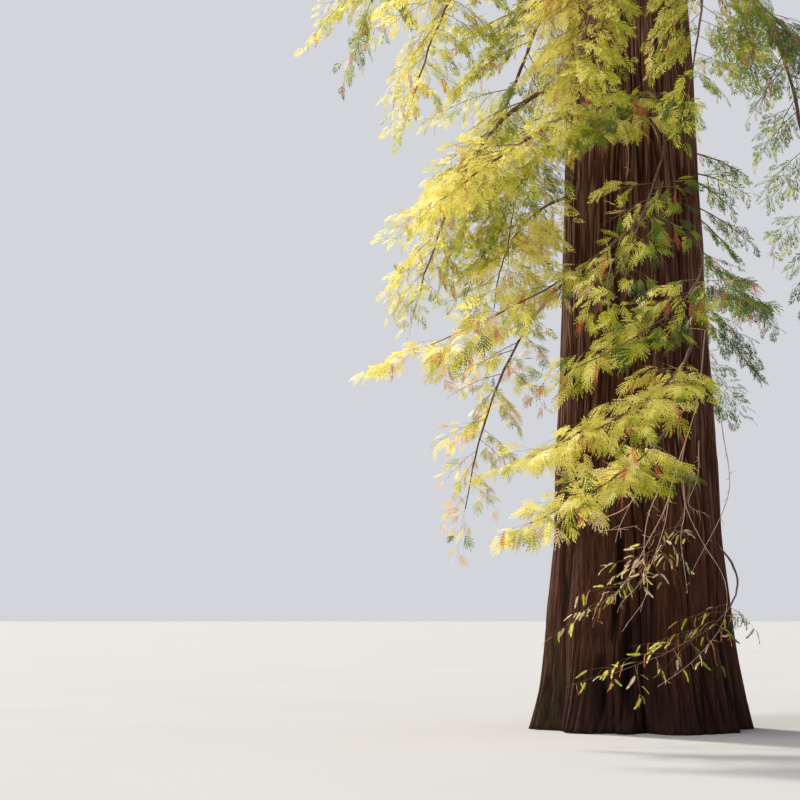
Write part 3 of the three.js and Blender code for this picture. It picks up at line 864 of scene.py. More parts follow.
# %% [markdown]
# ## Branchlets
# In the model a twig is one toothed blade. Here it is a branchlet with its own shoots. The rule for where
# one leaves the stem, where it points and how long it is comes from the model. Finer ones grow between the
# model's own, more of them where the photograph shows dense foliage. One that has no room is tried shorter,
# and then left out.

# %% The model's rule for twigs
TWIG_SPAN = (0.06, 0.95)
TWIG_LONGEST = 0.35
TWIG_FULL_SHARE = 1.1
TWIG_FALL_OFF = 0.5
TWIG_UNEVENNESS = (0.8, 1.2)
ROLL_DRAW = 0.5
LENGTH_DRAW = 7.5
END_SHARE = 0.985
END_TWIG_SHARE = 0.8
TWIG_TILT = math.radians(50)
SPREAD = math.radians(60)
SAG = 0.22
SHORTER = (1, 0.8, 0.62, 0.45)
KEY_STEP = 17.7
# The outline of the model's blade: how far along it, and how far out to each side, as shares of its length
OUTLINE = np.array([(1, 0), (0.85, 0.19), (0.61, 0.13), (0.56, 0.33)])
# How many branchlets grow for each of the model's twigs, by the kind of limb, and on the limbs that have more
FINER = {"low": 2, "dense": 3, "back": 2, "crown": 2}
MORE_FINER = {"front_high": 7, "fringe": 4, "sunlit": 3, "hanging": 3, "lowest": 3}
FINER_SHARE = 0.86
print("the model's limbs have", sum(limb["twigs"] for limb in limbs[:MODEL_LIMBS]), "twigs to the sides")


# %% Grow the branchlets of one limb
def branchlets(owner, limb):
    """Every branchlet of one limb, as arrays: foot, direction, aside, length and the stem's radius there.

    Twig i leaves the stem at i's share of its span, to the left and the right in turn and rolled up or down
    by chance. Its direction is along the stem plus outward, by the spread, and then sags. Its length is
    greatest a third of the way along the stem. The last one carries on from the stem's end.
    """
    key, finer = owner * KEY_STEP, MORE_FINER.get(limb["name"], FINER[limb["kind"]])
    step = np.arange(limb["twigs"] * finer)
    i = step / finer
    t = np.minimum(np.append(lerp(*TWIG_SPAN, (i + 0.5) / limb["twigs"]), END_SHARE), END_SHARE)
    place = lerp(limb["bare"], 1, t)
    foot = limb_point(limb, place)
    along, aside, above = limb_frame(limb, place)
    turn = math.radians(limb["roll"]) * (2 * chance(key, i + ROLL_DRAW) - 1)
    side = np.where((np.floor(i) + step % finer) % 2 == 0, 1, -1)
    outward = aside[:-1] * (side * np.cos(turn))[:, None] + above[:-1] * np.sin(turn)[:, None]
    direction = along[:-1] * math.cos(SPREAD) + outward * math.sin(SPREAD) - SAG * UP
    direction = np.vstack([unit(direction), along[-1:]])
    share = TWIG_FULL_SHARE - TWIG_FALL_OFF * np.abs(t[:-1] - TWIG_LONGEST)
    share *= lerp(*TWIG_UNEVENNESS, chance(key, i + LENGTH_DRAW))
    share *= np.where(step % finer == 0, 1, FINER_SHARE)
    length = limb["twig"] * np.append(share, END_TWIG_SHARE)
    level = unit(np.cross(direction, UP) + NUDGE)
    tilt = TWIG_TILT * (2 * chance(foot[:, 0] * METRE, foot[:, 2] * METRE) - 1)
    flat = level * np.cos(tilt)[:, None] + np.cross(direction, level) * np.sin(tilt)[:, None]
    kept = np.zeros(len(t))
    for shorter in SHORTER:
        reach = length * shorter
        ends = [
            foot + direction * (reach * a)[:, None] + flat * (reach * o * s)[:, None]
            for a, o in OUTLINE for s in (1, -1)
        ]
        fits = is_free(owner, np.stack(ends, axis=1)).all(1)
        kept = np.where((kept == 0) & fits, shorter, kept)
    grown = (kept > 0) & in_the_box(foot + direction * (length * kept)[:, None])
    radius = limb["thick"] * lerp(1, LIMB_TAPER, place)
    return {
        "owner": np.full(grown.sum(), owner), "foot": foot[grown], "direction": direction[grown],
        "flat": flat[grown], "length": (length * kept)[grown], "radius": radius[grown],
    }


example = branchlets(0, limbs[0])["length"]
print("the first limb has", len(example), "branchlets, up to", example.max().round(2), "m long")

# %% The tree in four parts
CROWN_MIDDLE = 24.5


def gather(rows):
    """A list of dictionaries of arrays as one dictionary of longer arrays."""
    return {name: np.concatenate([row[name] for row in rows]) for name in rows[0]}


def limbs_of(*kinds, low=0, high=TREE_HEIGHT):
    """The numbers of the limbs of some kinds that leave the trunk between two heights."""
    return [i for i, limb in enumerate(limbs) if limb["kind"] in kinds and low <= limb["root"][2] < high]


# The low limbs in front, the dense ones above them with the back, and the two halves of the crown
PARTS = {
    "low": limbs_of("low"), "dense": limbs_of("dense", "back"),
    "crown": limbs_of("crown", high=CROWN_MIDDLE), "top": limbs_of("crown", low=CROWN_MIDDLE),
}


def print_counts(rows_of, what):
    """How many of something each part of the tree has."""
    print(*(f"{part} has {len(rows['length'])} {what}" for part, rows in rows_of.items()), sep=", ")


twigs = {part: gather([branchlets(i, limbs[i]) for i in rows]) for part, rows in PARTS.items()}
print_counts(twigs, "branchlets")

# %% [markdown]
# ## Shoots
# A branchlet is flat, like a feather. Shoots leave it to the left and the right, longest below its middle,
# so that together they fill the outline of the model's blade.

# %% Points along a branchlet
ARCH = 0.06


def point_ahead(rows, share=1):
    """The point that lies a share of each row's length ahead of its foot."""
    return rows["foot"] + rows["direction"] * (rows["length"] * share)[:, None]


def branchlet_point(b, s):
    """A straight line from foot to tip, arched up in the middle by a share of its length."""
    return point_ahead(b, s) + UP * (ARCH * np.sin(np.pi * s) * b["length"])[:, None]


def pick(rows, index):
    """The same rows of every array."""
    return {name: values[index] for name, values in rows.items()}


def repeated(rows, counts):
    """Each row as often as its count says, each copy's number, and how many copies there are of its row."""
    copies = pick(rows, np.repeat(np.arange(len(counts)), counts))
    number = np.arange(counts.sum()) - np.repeat(np.cumsum(counts) - counts, counts)
    return copies, number, np.repeat(counts, counts)


def of_limbs(values, rows, otherwise=1):
    """A value for each row, by the name of its limb."""
    return np.array([values.get(limb["name"], otherwise) for limb in limbs])[rows["owner"]]


halfway = branchlet_point(twigs["low"], 0.5)
print("the low branchlets' middles lie down to", halfway[:, 2].min().round(2), "m above the ground")

# %% Grow the shoots
SHOOT_ANGLE = math.radians(42)
SHOOT_SPAN = (0.1, 0.97)
SHOOT_COUNT = (5, 30)
SHOOT_STEP = (0.25, 0.75)
SHOOT_LENGTH = 0.44
SHOOT_TAPER = 0.8
SHOOT_SHORTER_UNTIL = 0.2
SHOOT_SHORTER_OVER = 0.28
SHOOT_UNEVENNESS = (0.8, 1.15)
SHOOT_SAG = 0.12
ANGLE_SPREAD = 0.12
LIFT_SPREAD = 0.16
SHOOT_SPACING = {"low": 0.085, "dense": 0.075, "crown": 0.2, "top": 0.17}
# How wide the sprays are on the limbs where they are narrow
SLENDER = {"lowest": 0.32, "hanging": 0.32, "left_low": 0.6}


def shoots(b, spacing):
    """Shoots on every branchlet, left and right in turn, at shares s of its length.

    A shoot's length goes with (1 - s)^0.8, and it is shorter close to the branchlet's foot too. On the
    slender limbs shoots are short and stand closer. One that would leave the model's box is left out.
    """
    counts = np.clip(np.round(b["length"] / (spacing * of_limbs(SLENDER, b))), *SHOOT_COUNT).astype(int)
    parent, number, total = repeated(b, counts)
    s = lerp(*SHOOT_SPAN, (number + rng.uniform(*SHOOT_STEP, len(number))) / total)
    side = np.where(number % 2 == 0, 1, -1)
    angle = SHOOT_ANGLE + rng.normal(0, ANGLE_SPREAD, len(s))
    lift = rng.normal(0, LIFT_SPREAD, len(s))
    above = np.cross(parent["flat"], parent["direction"])
    direction = parent["direction"] * np.cos(angle)[:, None]
    direction += parent["flat"] * (side * np.sin(angle))[:, None] + above * lift[:, None]
    direction = unit(direction - SHOOT_SAG * UP)
    near_foot = np.clip(1 - (SHOOT_SHORTER_UNTIL - s) / SHOOT_SHORTER_OVER, 0, 1)
    share = SHOOT_LENGTH * (1 - s) ** SHOOT_TAPER * near_foot
    length = parent["length"] * share * rng.uniform(*SHOOT_UNEVENNESS, len(s)) * of_limbs(SLENDER, parent)
    rows = {
        "owner": parent["owner"], "foot": branchlet_point(parent, s), "direction": direction,
        "flat": unit(np.cross(direction, above)), "length": length, "radius": parent["radius"],
    }
    return pick(rows, in_the_box(point_ahead(rows)))


sprigs = {part: shoots(twigs[part], SHOOT_SPACING[part]) for part in PARTS}
print_counts(sprigs, "shoots")

# %% [markdown]
# ## Wood of the boughs and twigs
# All the wood that carries the needles is round and tapers. The limbs are thick enough to show a surface,
# so they have many sides and some unevenness. A twig is a few pixels wide at most, and four sides are
# enough.


# %% Materials of the wood
def wood_material(name, dark, light, scale, roughness):
    """Mottled wood with a slight bump."""
    material, tree, shader = new_material(name, roughness, specular=0.25)
    grain = mottle(tree, dark, light, scale, stretch=4, contrast=2.2)
    tree.links.new(grain.outputs["Color"], shader.inputs["Base Color"])
    add_bump(tree, shader, grain.outputs["Height"], strength=0.5, distance=0.003)
    return material


BOUGH_COLOURS = (0.055, 0.026, 0.017), (0.230, 0.130, 0.085)
TWIG_COLOURS = (0.120, 0.058, 0.034), (0.330, 0.190, 0.115)
BOUGH_WOOD = wood_material("bough_bark", *BOUGH_COLOURS, scale=45, roughness=0.85)
TWIG_WOOD = wood_material("twig_bark", *TWIG_COLOURS, scale=60, roughness=0.75)
print("materials so far:", len(bpy.data.materials))

# %% Paths of the limbs, branchlets and shoots
LIMB_RINGS = 30
LIMB_SIDES = 10
COLLAR = 0.9
COLLAR_SHARE = 0.05
KNOBBLES = 0.1
WANDER = 0.16
# A branchlet is this much thinner than its limb, and a shoot than its branchlet
BRANCHLET_SHARE = 0.34
BRANCHLET_RINGS = 5
BRANCHLET_SIDES = 4
BRANCHLET_END = 0.98
BRANCHLET_TAPER = 0.2
SHOOT_SHARE = 0.5
SHOOT_SIDES = 3
SHOOT_END = 0.9
SHOOT_THINNING = (1, 0.4)


def limb_paths(rows):
    """Paths and radii of whole limbs, with a collar where each leaves the trunk and a slight unevenness."""
    t = np.linspace(0, 1, LIMB_RINGS)
    paths = np.stack([limb_point(limbs[i], t) for i in rows])
    thick = np.array([limbs[i]["thick"] for i in rows])[:, None]
    radii = thick * lerp(1, LIMB_TAPER, t) * (1 + COLLAR * np.exp(-t / COLLAR_SHARE))
    radii *= 1 + KNOBBLES * rng.standard_normal(radii.shape)
    paths[:, 1:-1] += rng.standard_normal(paths[:, 1:-1].shape) * thick[..., None] * WANDER
    return paths, radii


def twig_paths(b):
    """Branchlets as arched paths that thin out evenly."""
    steps = np.linspace(0, BRANCHLET_END, BRANCHLET_RINGS)
    paths = np.stack([branchlet_point(b, s) for s in steps], axis=1)
    return paths, BRANCHLET_SHARE * b["radius"][:, None] * lerp(1, BRANCHLET_TAPER, steps)


def shoot_paths(b):
    """Shoots as straight paths of two points."""
    radius = BRANCHLET_SHARE * SHOOT_SHARE * b["radius"]
    paths = np.stack([b["foot"], point_ahead(b, SHOOT_END)], axis=1)
    return paths, radius[:, None] * np.array(SHOOT_THINNING)


print("the thickest limb measures", round(200 * max(limb["thick"] for limb in limbs)), "cm across")


# %% Build the wood
def masses(rows):
    """The model's nodes for the foliage of some limbs."""
    return ["foliage_" + limbs[i]["name"] for i in rows if i < MODEL_LIMBS]


def boughs(rows):
    """The model's nodes for the bare part of some limbs."""
    return ["bough_" + limbs[i]["name"] for i in rows if i < MODEL_LIMBS and limbs[i]["bare"] > 0]


for part, rows in PARTS.items():
    piece = mesh_piece(part + "_boughs", *tubes(*limb_paths(rows), LIMB_SIDES), BOUGH_WOOD, smooth=True)
    fit(piece, boughs(rows) + masses(rows))
    wood = joined([
        tubes(*twig_paths(twigs[part]), BRANCHLET_SIDES), tubes(*shoot_paths(sprigs[part]), SHOOT_SIDES)
    ])
    piece = mesh_piece(part + "_twigs", *wood, TWIG_WOOD, smooth=True)
    fit(piece, masses(rows))

# %% [markdown]
# ## Bare hanging twigs
# Long thin twigs without needles hang down in front of the trunk. They are individual, so a rule can't grow
# them. Their routes are read off the photograph in pixels, and the camera's own geometry carries each pixel
# back to a point in an upright plane in front of the trunk.

# %% From the picture to the tree
PICTURE_SIZE = 800
SENSOR = 36.0
FOCAL_PIXELS = PICTURE_SIZE * LENS / SENSOR


def from_picture(pixels, depth):
    """Where the sight line through each pixel meets the upright plane y = depth."""
    x, y = (np.asarray(pixels, float).T - PICTURE_SIZE / 2) / FOCAL_PIXELS
    ahead = np.array([0, math.cos(LOOK_UP), math.sin(LOOK_UP)])
    upward = np.array([0, -math.sin(LOOK_UP), math.cos(LOOK_UP)])
    sight = ahead + x[:, None] * np.array([1, 0, 0]) - y[:, None] * upward
    return EYE + sight * ((depth - EYE[1]) / sight[:, 1])[:, None]


sides = from_picture([(0, PICTURE_SIZE / 2), (PICTURE_SIZE, PICTURE_SIZE / 2)], 0)
print("at the trunk, the picture is", round(float(np.ptp(sides[:, 0])), 1), "m wide")

# %% Trace the hanging twigs
# Routes in the photograph as (x, y) in pixels, from the limb that each hangs from to its tip
ROUTES = [
    [(705, 330), (700, 400), (683, 450), (681, 480), (686, 511), (703, 546), (724, 576), (727, 606),
     (721, 629), (692, 664), (658, 687)],
    [(690, 430), (673, 480), (668, 502), (663, 530), (646, 579), (621, 603), (618, 613)],
    [(676, 470), (666, 508), (646, 543), (633, 574), (603, 609)],
    [(655, 445), (641, 480), (629, 508), (618, 530), (615, 543)],
    [(641, 485), (628, 509), (598, 520), (592, 528), (606, 531), (637, 526)],
    [(668, 470), (653, 501), (646, 526), (644, 563), (649, 594), (625, 626)],
    [(683, 480), (687, 511), (680, 535), (681, 555), (688, 594)],
    [(722, 420), (732, 480), (722, 513), (706, 545), (692, 574)],
    [(700, 440), (697, 480), (687, 503), (694, 509), (706, 513)],
    [(606, 240), (612, 262), (604, 290), (612, 318), (601, 346), (606, 372)],
    [(596, 60), (604, 95), (622, 118), (630, 150), (626, 178)],
]
ROUTE_DEPTHS = [-1.32, -1.45, -1.38, -1.5, -1.42, -1.36, -1.28, -1.3, -1.33, -1.3, -1.25]
HANGING_RADIUS = 0.005
HANGING_TAPER = 0.35
HANGING_SIDES = 6
ROUTE_POINTS = 40
ROUTE_SWAY = 0.05
# How far along its sine a route sways from end to end, in radians
ROUTE_SWAYS = 7
CORNER_CUT = 0.25


def smooth_route(points):
    """Each corner cut off at a quarter of the way to both sides, twice, and then evenly spaced points."""
    for _ in range(2):
        here, following = points[:-1], points[1:]
        cuts = [lerp(here, following, CORNER_CUT), lerp(here, following, 1 - CORNER_CUT)]
        points = np.vstack([points[:1], np.stack(cuts, axis=1).reshape(-1, 3), points[-1:]])
    walked = np.append(0, np.cumsum(np.linalg.norm(np.diff(points, axis=0), axis=1)))
    even = np.linspace(0, walked[-1], ROUTE_POINTS)
    return np.stack([np.interp(even, walked, points[:, axis]) for axis in range(3)], axis=1)


routes = np.stack([smooth_route(from_picture(r, d)) for r, d in zip(ROUTES, ROUTE_DEPTHS)])
phases = np.linspace(0, ROUTE_SWAYS, ROUTE_POINTS) + np.arange(len(ROUTES))[:, None]
routes[:, :, 1] += ROUTE_SWAY * np.sin(phases)
thinning = HANGING_RADIUS * np.linspace(1, HANGING_TAPER, ROUTE_POINTS) * np.ones((len(ROUTES), 1))
lengths = np.linalg.norm(np.diff(routes, axis=1), axis=2).sum(1)
print(len(ROUTES), "hanging twigs, from", lengths.min().round(2), "to", lengths.max().round(2), "m long")

# %% Side twigs, and the hanging twigs as one piece
TWIGLETS = 9
TWIGLET_FIRST = ROUTE_POINTS // 5
TWIGLET_THICKNESS = (0.5, 0.25)
TWIGLET_SIDES = 4
TWIGLET_LENGTH = (0.02, 0.09)
TWIGLET_SPREAD = np.array([1.0, 0.4, 0.5])
TWIGLET_SAG = 0.5


def twiglets():
    """Short straight paths that leave the routes at chance points, mostly sideways and a little down."""
    at = rng.integers(TWIGLET_FIRST, ROUTE_POINTS - 1, (len(ROUTES), TWIGLETS))
    foot = routes[np.arange(len(ROUTES))[:, None], at].reshape(-1, 3)
    direction = unit(rng.normal(0, 1, foot.shape) * TWIGLET_SPREAD - TWIGLET_SAG * UP)
    length = rng.uniform(*TWIGLET_LENGTH, len(foot))
    paths = np.stack([foot, foot + direction * length[:, None]], axis=1)
    return paths, HANGING_RADIUS * np.array([TWIGLET_THICKNESS]) * np.ones((len(foot), 1))


# Pale pinkish tan: the bark of dead twigs, made paler still as painted sunlight
BARE_COLOURS = (0.400, 0.230, 0.160), (0.700, 0.480, 0.360)
BARE_WOOD = wood_material("bare_twig", *BARE_COLOURS, scale=50, roughness=0.7)
wood = joined([tubes(routes, thinning, HANGING_SIDES), tubes(*twiglets(), TWIGLET_SIDES)])
piece = mesh_piece("hanging_twigs", *wood, BARE_WOOD, smooth=True)
fit(piece, masses(PARTS["low"]))

# %% [markdown]
# ## Needles
# A redwood's needles stand in two flat rows on fingers, and the fingers make a fan. Near the camera every
# needle is one triangle. Further off a needle would be far smaller than anything the picture can show, so
# there each finger is a plain kite, and the fan is a feather of kites. On the lowest twigs the fingers
# stand singly.

# %% A finger with its needles
NEEDLE_LEAN = 0.8
FINGER_TIP = 1.6
WIDEST_AT = 0.33
WIDEST = 1.1
NARROWING = 0.9


def finger(base, angle, length, width, pairs):
    """A toothed blade with one triangle for each needle, flat, as points (x, y) and faces.

    Pair k of needles stands on the axis from k / pairs to (k + 1) / pairs of the length. Their points lie out
    to each side by the width, which is greatest a third of the way along, and ahead by a share of that.
    """
    ahead = np.array([math.cos(angle), math.sin(angle)])
    aside = np.array([-ahead[1], ahead[0]])
    axis = base + (np.arange(pairs + 1) / pairs)[:, None] * length * ahead
    k = np.arange(pairs)
    middle = (k + 0.5) / pairs
    wide = (width * (WIDEST - NARROWING * np.abs(middle - WIDEST_AT)))[:, None]
    tips = base + middle[:, None] * length * ahead + NEEDLE_LEAN * wide * ahead
    end_point = axis[-1:] + FINGER_TIP * width * ahead
    points = np.vstack([axis, tips + wide * aside, tips - wide * aside, end_point])
    left, right, end = pairs + 1 + k, 2 * pairs + 1 + k, 3 * pairs + 1
    faces = np.vstack([
        np.stack([k, k + 1, left], axis=1), np.stack([k + 1, k, right], axis=1),
        [[pairs, end, left[-1]], [end, pairs, right[-1]]],
    ])
    return points, faces


print("a finger with 5 pairs has", len(finger(np.zeros(2), 0, 1, 0.1, 5)[1]), "triangles")

# %% A fan of fingers
FAN_DROOP = 0.25
FINGERS_FROM_TO = (0.06, 0.62)
FINGER_LENGTHS = (0.52, 0.2)
END_FINGER = (0.45, 0.5)
FINGER_UNEVENNESS = (0.8, 1.15)
# How much the end finger and the others turn by chance, and how much less each next pair is spread
END_TURN = 0.05
FINGER_TURN = 0.09
CLOSING = 0.05


def drooped(flat):
    """A flat shape with each point lowered by the droop times the square of its distance from the foot."""
    return np.column_stack([flat, -FAN_DROOP * (flat ** 2).sum(1)])


def fan(seed, sides, pairs, width, spread):
    """An axis of length 1 with fingers to both sides and one at its end."""
    draw = np.random.default_rng(seed)
    fingers = [(np.array([END_FINGER[0], 0.0]), draw.normal(0, END_TURN), END_FINGER[1])]
    for k in range(sides):
        at = lerp(*FINGERS_FROM_TO, k / sides)
        for side in (1, -1):
            angle = side * (spread + draw.normal(0, FINGER_TURN) - CLOSING * k)
            length = lerp(*FINGER_LENGTHS, at) * draw.uniform(*FINGER_UNEVENNESS)
            fingers.append((np.array([at, 0.0]), angle, length))
    flat, faces = joined([(points, [f]) for points, f in (finger(*row, width, pairs) for row in fingers)])
    return drooped(flat), np.vstack(faces)


print("a fan of 4 pairs of fingers has", len(fan(0, 4, 5, 0.05, 0.66)[1]), "triangles")

# %% A feather for further away, and a single sprig
FEATHER_FROM_TO = (0.04, 0.8)
FEATHER_LENGTHS = (0.42, 0.2)
FEATHER_END = (0.55, 0.15)
FEATHER_TURN = 0.1
SPRIG_LENGTH = 0.9
SPRIG_WIDTH = 0.17
SPRIG_PAIRS = 8


def feather(seed, sides, width, spread):
    """Short fingers along the whole axis, each a kite of two triangles: foot, left, tip and right."""
    draw = np.random.default_rng(seed)
    at = np.append(np.repeat(lerp(*FEATHER_FROM_TO, np.arange(sides) / sides), 2), FEATHER_END[0])
    side = np.append(np.tile([1, -1], sides), 0)
    angle = side * spread + draw.normal(0, FEATHER_TURN, len(at))
    length = lerp(*FEATHER_LENGTHS, at) + FEATHER_END[1] * (side == 0)
    length *= draw.uniform(*FINGER_UNEVENNESS, len(at))
    ahead = np.stack([np.cos(angle), np.sin(angle)], axis=1) * length[:, None]
    aside = np.stack([-np.sin(angle), np.cos(angle)], axis=1) * width
    root = np.stack([at, np.zeros_like(at)], axis=1)
    flat = np.stack([root, root + 0.5 * ahead + aside, root + ahead, root + 0.5 * ahead - aside], axis=1)
    kites = 4 * np.arange(len(at))[:, None]
    return drooped(flat.reshape(-1, 2)), np.vstack([kites + [0, 2, 1], kites + [0, 3, 2]])


def sprig(bend):
    """A single finger with long needles, for the narrow sprays. It bends sideways by bend times x squared."""
    points, faces = finger(np.zeros(2), 0.0, SPRIG_LENGTH, SPRIG_WIDTH, SPRIG_PAIRS)
    x, y = points.T
    return np.column_stack([x, y + bend * x ** 2, -FAN_DROOP * x ** 2]), faces


NEEDLE_FANS = [fan(seed, sides=4, pairs=5, width=0.05, spread=0.66) for seed in range(3)]
NEEDLE_FANS += [fan(seed, sides=5, pairs=4, width=0.042, spread=0.56) for seed in range(3, 6)]
FEATHERS = [feather(seed, sides=5, width=0.036, spread=0.72) for seed in range(5)]
PLAIN_FEATHERS = [feather(seed, sides=4, width=0.046, spread=0.72) for seed in range(5)]
SPRIGS = [sprig(bend) for bend in (-0.12, 0.1)]
FANS = {"low": NEEDLE_FANS, "dense": FEATHERS, "crown": PLAIN_FEATHERS, "top": PLAIN_FEATHERS}
print("a feather has", len(FEATHERS[0][1]), "triangles, and a sprig", len(SPRIGS[0][1]))

# %% [markdown]
# ## Where the fans stand
# Fans leave each shoot to its left and right, in the plane of the branchlet, and droop by chance, so that
# no two sprays look alike. Then two things thin them out: a fan that would reach out of its own mass's
# space is left out, and the low limbs, which the photograph shows bare in places, keep only a share.

# %% Fans along every shoot
TIP_AT = 0.9
FAN_STEP = (0.3, 0.8)
FAN_ANGLE = (0.62, 0.15)
FAN_TURN = 0.1
FAN_SAG = 0.22
FAN_ROLL = 0.55
SIZE_UNEVENNESS = (0.78, 1.2)


def sprays(b, spacing, size, limit):
    """Fans along every shoot, left and right in turn, and one at its tip.

    Each fan's direction is the shoot's turned by the fan's angle and lowered by chance. It lies flat, apart
    from a roll by chance.
    """
    counts = 1 + np.clip(np.floor(b["length"] / spacing), 0, limit).astype(int)
    parent, number, total = repeated(b, counts)
    at_tip = number == total - 1
    s = np.where(at_tip, TIP_AT, (number + rng.uniform(*FAN_STEP, len(number))) / total)
    side = np.where(at_tip, 0, np.where(number % 2 == 0, 1, -1))
    angle = side * rng.normal(*FAN_ANGLE, len(s)) + rng.normal(0, FAN_TURN, len(s))
    direction = parent["direction"] * np.cos(angle)[:, None] + parent["flat"] * np.sin(angle)[:, None]
    direction = unit(direction - np.abs(rng.normal(0, FAN_SAG, len(s)))[:, None] * UP)
    facing = UP + rng.normal(0, FAN_ROLL, (len(s), 3))
    aside = unit(np.cross(facing, direction))
    return {
        "owner": parent["owner"], "foot": point_ahead(parent, s), "direction": direction, "aside": aside,
        "above": np.cross(direction, aside), "length": size * rng.uniform(*SIZE_UNEVENNESS, len(s)),
    }


print("a fan stands on average", round(math.degrees(FAN_ANGLE[0])), "degrees off its shoot")

# %% Room for each fan
def keep_free(rows):
    """Leaves out each fan whose middle or tip lies outside its own mass's space or the model's box."""
    rows = pick(rows, in_the_box(point_ahead(rows)))
    points = np.stack([point_ahead(rows, MIDDLE), point_ahead(rows)], axis=1)
    kept = np.zeros(len(points), bool)
    for owner in np.unique(rows["owner"]):
        mine = rows["owner"] == owner
        kept[mine] = is_free(owner, points[mine]).all(1)
    return pick(rows, kept)


print("a fan that ends at the first limb's tip has room:", bool(is_free(0, limbs[0]["tip"])))

# %% How leafy each limb is
# The share of its fans that grow on each limb that isn't full, and how large they are where they are small
LEAFINESS = {
    "lowest": 0.42, "hanging": 0.42, "left_low": 0.75, "steep_sweep": 0.65, "left_sweep": 0.75,
    "right_mid": 0.8, "sunlit": 0.8, "lower_sunlit": 0.8,
}
SMALL_FANS = {"lowest": 0.48, "hanging": 0.45, "left_low": 0.7, "steep_sweep": 0.9}
# How far apart the fans stand along a shoot, how long they are, and the most that a shoot has, part by part
FAN_SPACING = {"low": 0.05, "dense": 0.045, "crown": 0.23, "top": 0.21}
FAN_SIZE = {"low": 0.18, "dense": 0.13, "crown": 0.37, "top": 0.33}
MOST_FANS = {"low": 6, "dense": 8, "crown": 4, "top": 4}


def thin_out(rows):
    """Leaves out fans by chance, so that each limb keeps its share."""
    rows["length"] = rows["length"] * of_limbs(SMALL_FANS, rows)
    return pick(rows, rng.random(len(rows["length"])) < of_limbs(LEAFINESS, rows))


fans = {}
for part in PARTS:
    fans[part] = sprays(sprigs[part], FAN_SPACING[part], FAN_SIZE[part], MOST_FANS[part])
    fans[part] = thin_out(keep_free(fans[part]))
print_counts(fans, "fans")

# %% [markdown]
# ## Colours of the needles
# Sunlight falls through the needles as well as on them, so some of the shader is translucent. Each fan has
# one colour, dealt out by chance and by place, with sun and shade painted in: yellow green where the sun
# reaches, deeper green inside, darker at the right and the back, and here and there a dead spray that has
# turned rust red and hangs down. On the lowest twigs many have faded to tan.

# %% The needles' materials
TRANSLUCENT_SHARE = 0.42


def needle_material(name, dark, light):
    """A glossy leaf surface, mixed with a translucent one that glows in its own plain colour."""
    material, tree, shader = new_material(name, roughness=0.5, specular=0.35)
    colour = mottle(tree, dark, light, scale=9, stretch=1, contrast=2.5)
    tree.links.new(colour.outputs["Color"], shader.inputs["Base Color"])
    through = add_node(tree, "ShaderNodeBsdfTranslucent", {"Color": (*light, 1)})
    inputs = {"Fac": TRANSLUCENT_SHARE, 1: shader.outputs[0], 2: through.outputs[0]}
    mixed = add_node(tree, "ShaderNodeMixShader", inputs)
    tree.links.new(mixed.outputs[0], tree.nodes["Material Output"].inputs["Surface"])
    return material


# Painted light: the first four tints are the same needles painted in sun, half light, half shade and shade.
# Faded and rust are colours of their own.
TINTS = {
    "sunlit": ((0.55, 0.50, 0.045), (0.96, 0.86, 0.245)),
    "half_lit": ((0.29, 0.33, 0.016), (0.58, 0.56, 0.055)),
    "green": ((0.100, 0.155, 0.012), (0.210, 0.280, 0.022)),
    "shade": ((0.030, 0.056, 0.009), (0.075, 0.120, 0.016)),
    "faded": ((0.42, 0.240, 0.140), (0.84, 0.64, 0.420)),
    "rust": ((0.36, 0.070, 0.024), (0.62, 0.20, 0.075)),
}
needle_materials = {name: needle_material("needles_" + name, *pair) for name, pair in TINTS.items()}
print("the needles have", len(needle_materials), "tints")

# %% How much there is of each tint
TINT_SHARES = {
    "low": {"sunlit": 0.46, "half_lit": 0.27, "green": 0.14, "shade": 0.06, "rust": 0.07, "faded": 0},
    "dense": {"sunlit": 0.28, "half_lit": 0.32, "green": 0.24, "shade": 0.10, "rust": 0.06},
    "crown": {"sunlit": 0.02, "half_lit": 0.21, "green": 0.40, "shade": 0.355, "rust": 0.015},
    "top": {"sunlit": 0.03, "half_lit": 0.24, "green": 0.40, "shade": 0.315, "rust": 0.015},
}
# The shares of fans that have died or faded, on the limbs where the sun has dried them
RUSTY = {"hanging": 0.16, "lowest": 0.2}
FADED = {"hanging": 0.55, "left_low": 0.4, "lower_sunlit": 0.12, "lowest": 0.15, "left_sweep": 0.1}
for part, shares in TINT_SHARES.items():
    print(part, "is", round(100 * (shares["sunlit"] + shares["half_lit"])), "% light tints")

# %% Deal out the tints
# The living tints, from painted sunlight to painted shade
LIVING = ["sunlit", "half_lit", "green", "shade"]
# How much of the order is left to chance, how many metres count as one step, and how much lighter the left
# is painted, as painted sunlight from the left
UNEVENNESS = {"low": 0.65, "dense": 0.5, "crown": 0.5, "top": 0.5}
BREADTH = {"low": 0.4, "dense": 0.5, "crown": 0.8, "top": 0.6}
LEFT_IS_LIGHTER = {"low": 0.5, "dense": 0.4, "crown": 0.1, "top": 0.1}
TO_THE_LIGHT = unit(np.array([-0.6, 0.2, 0.8]))
# Painted light: limbs painted more sunlit than their place gives, and the back ones painted more shaded
LIGHTER_LIMBS = {"sunlit": 1.2, "lower_sunlit": 0.9, "front_high": 0.6, "fringe": 0.5, "left_sweep": 0.4}
LIGHTER_LIMBS |= {f"back_{i + 1}": -0.8 for i in range(len(BACK_LIMBS))}


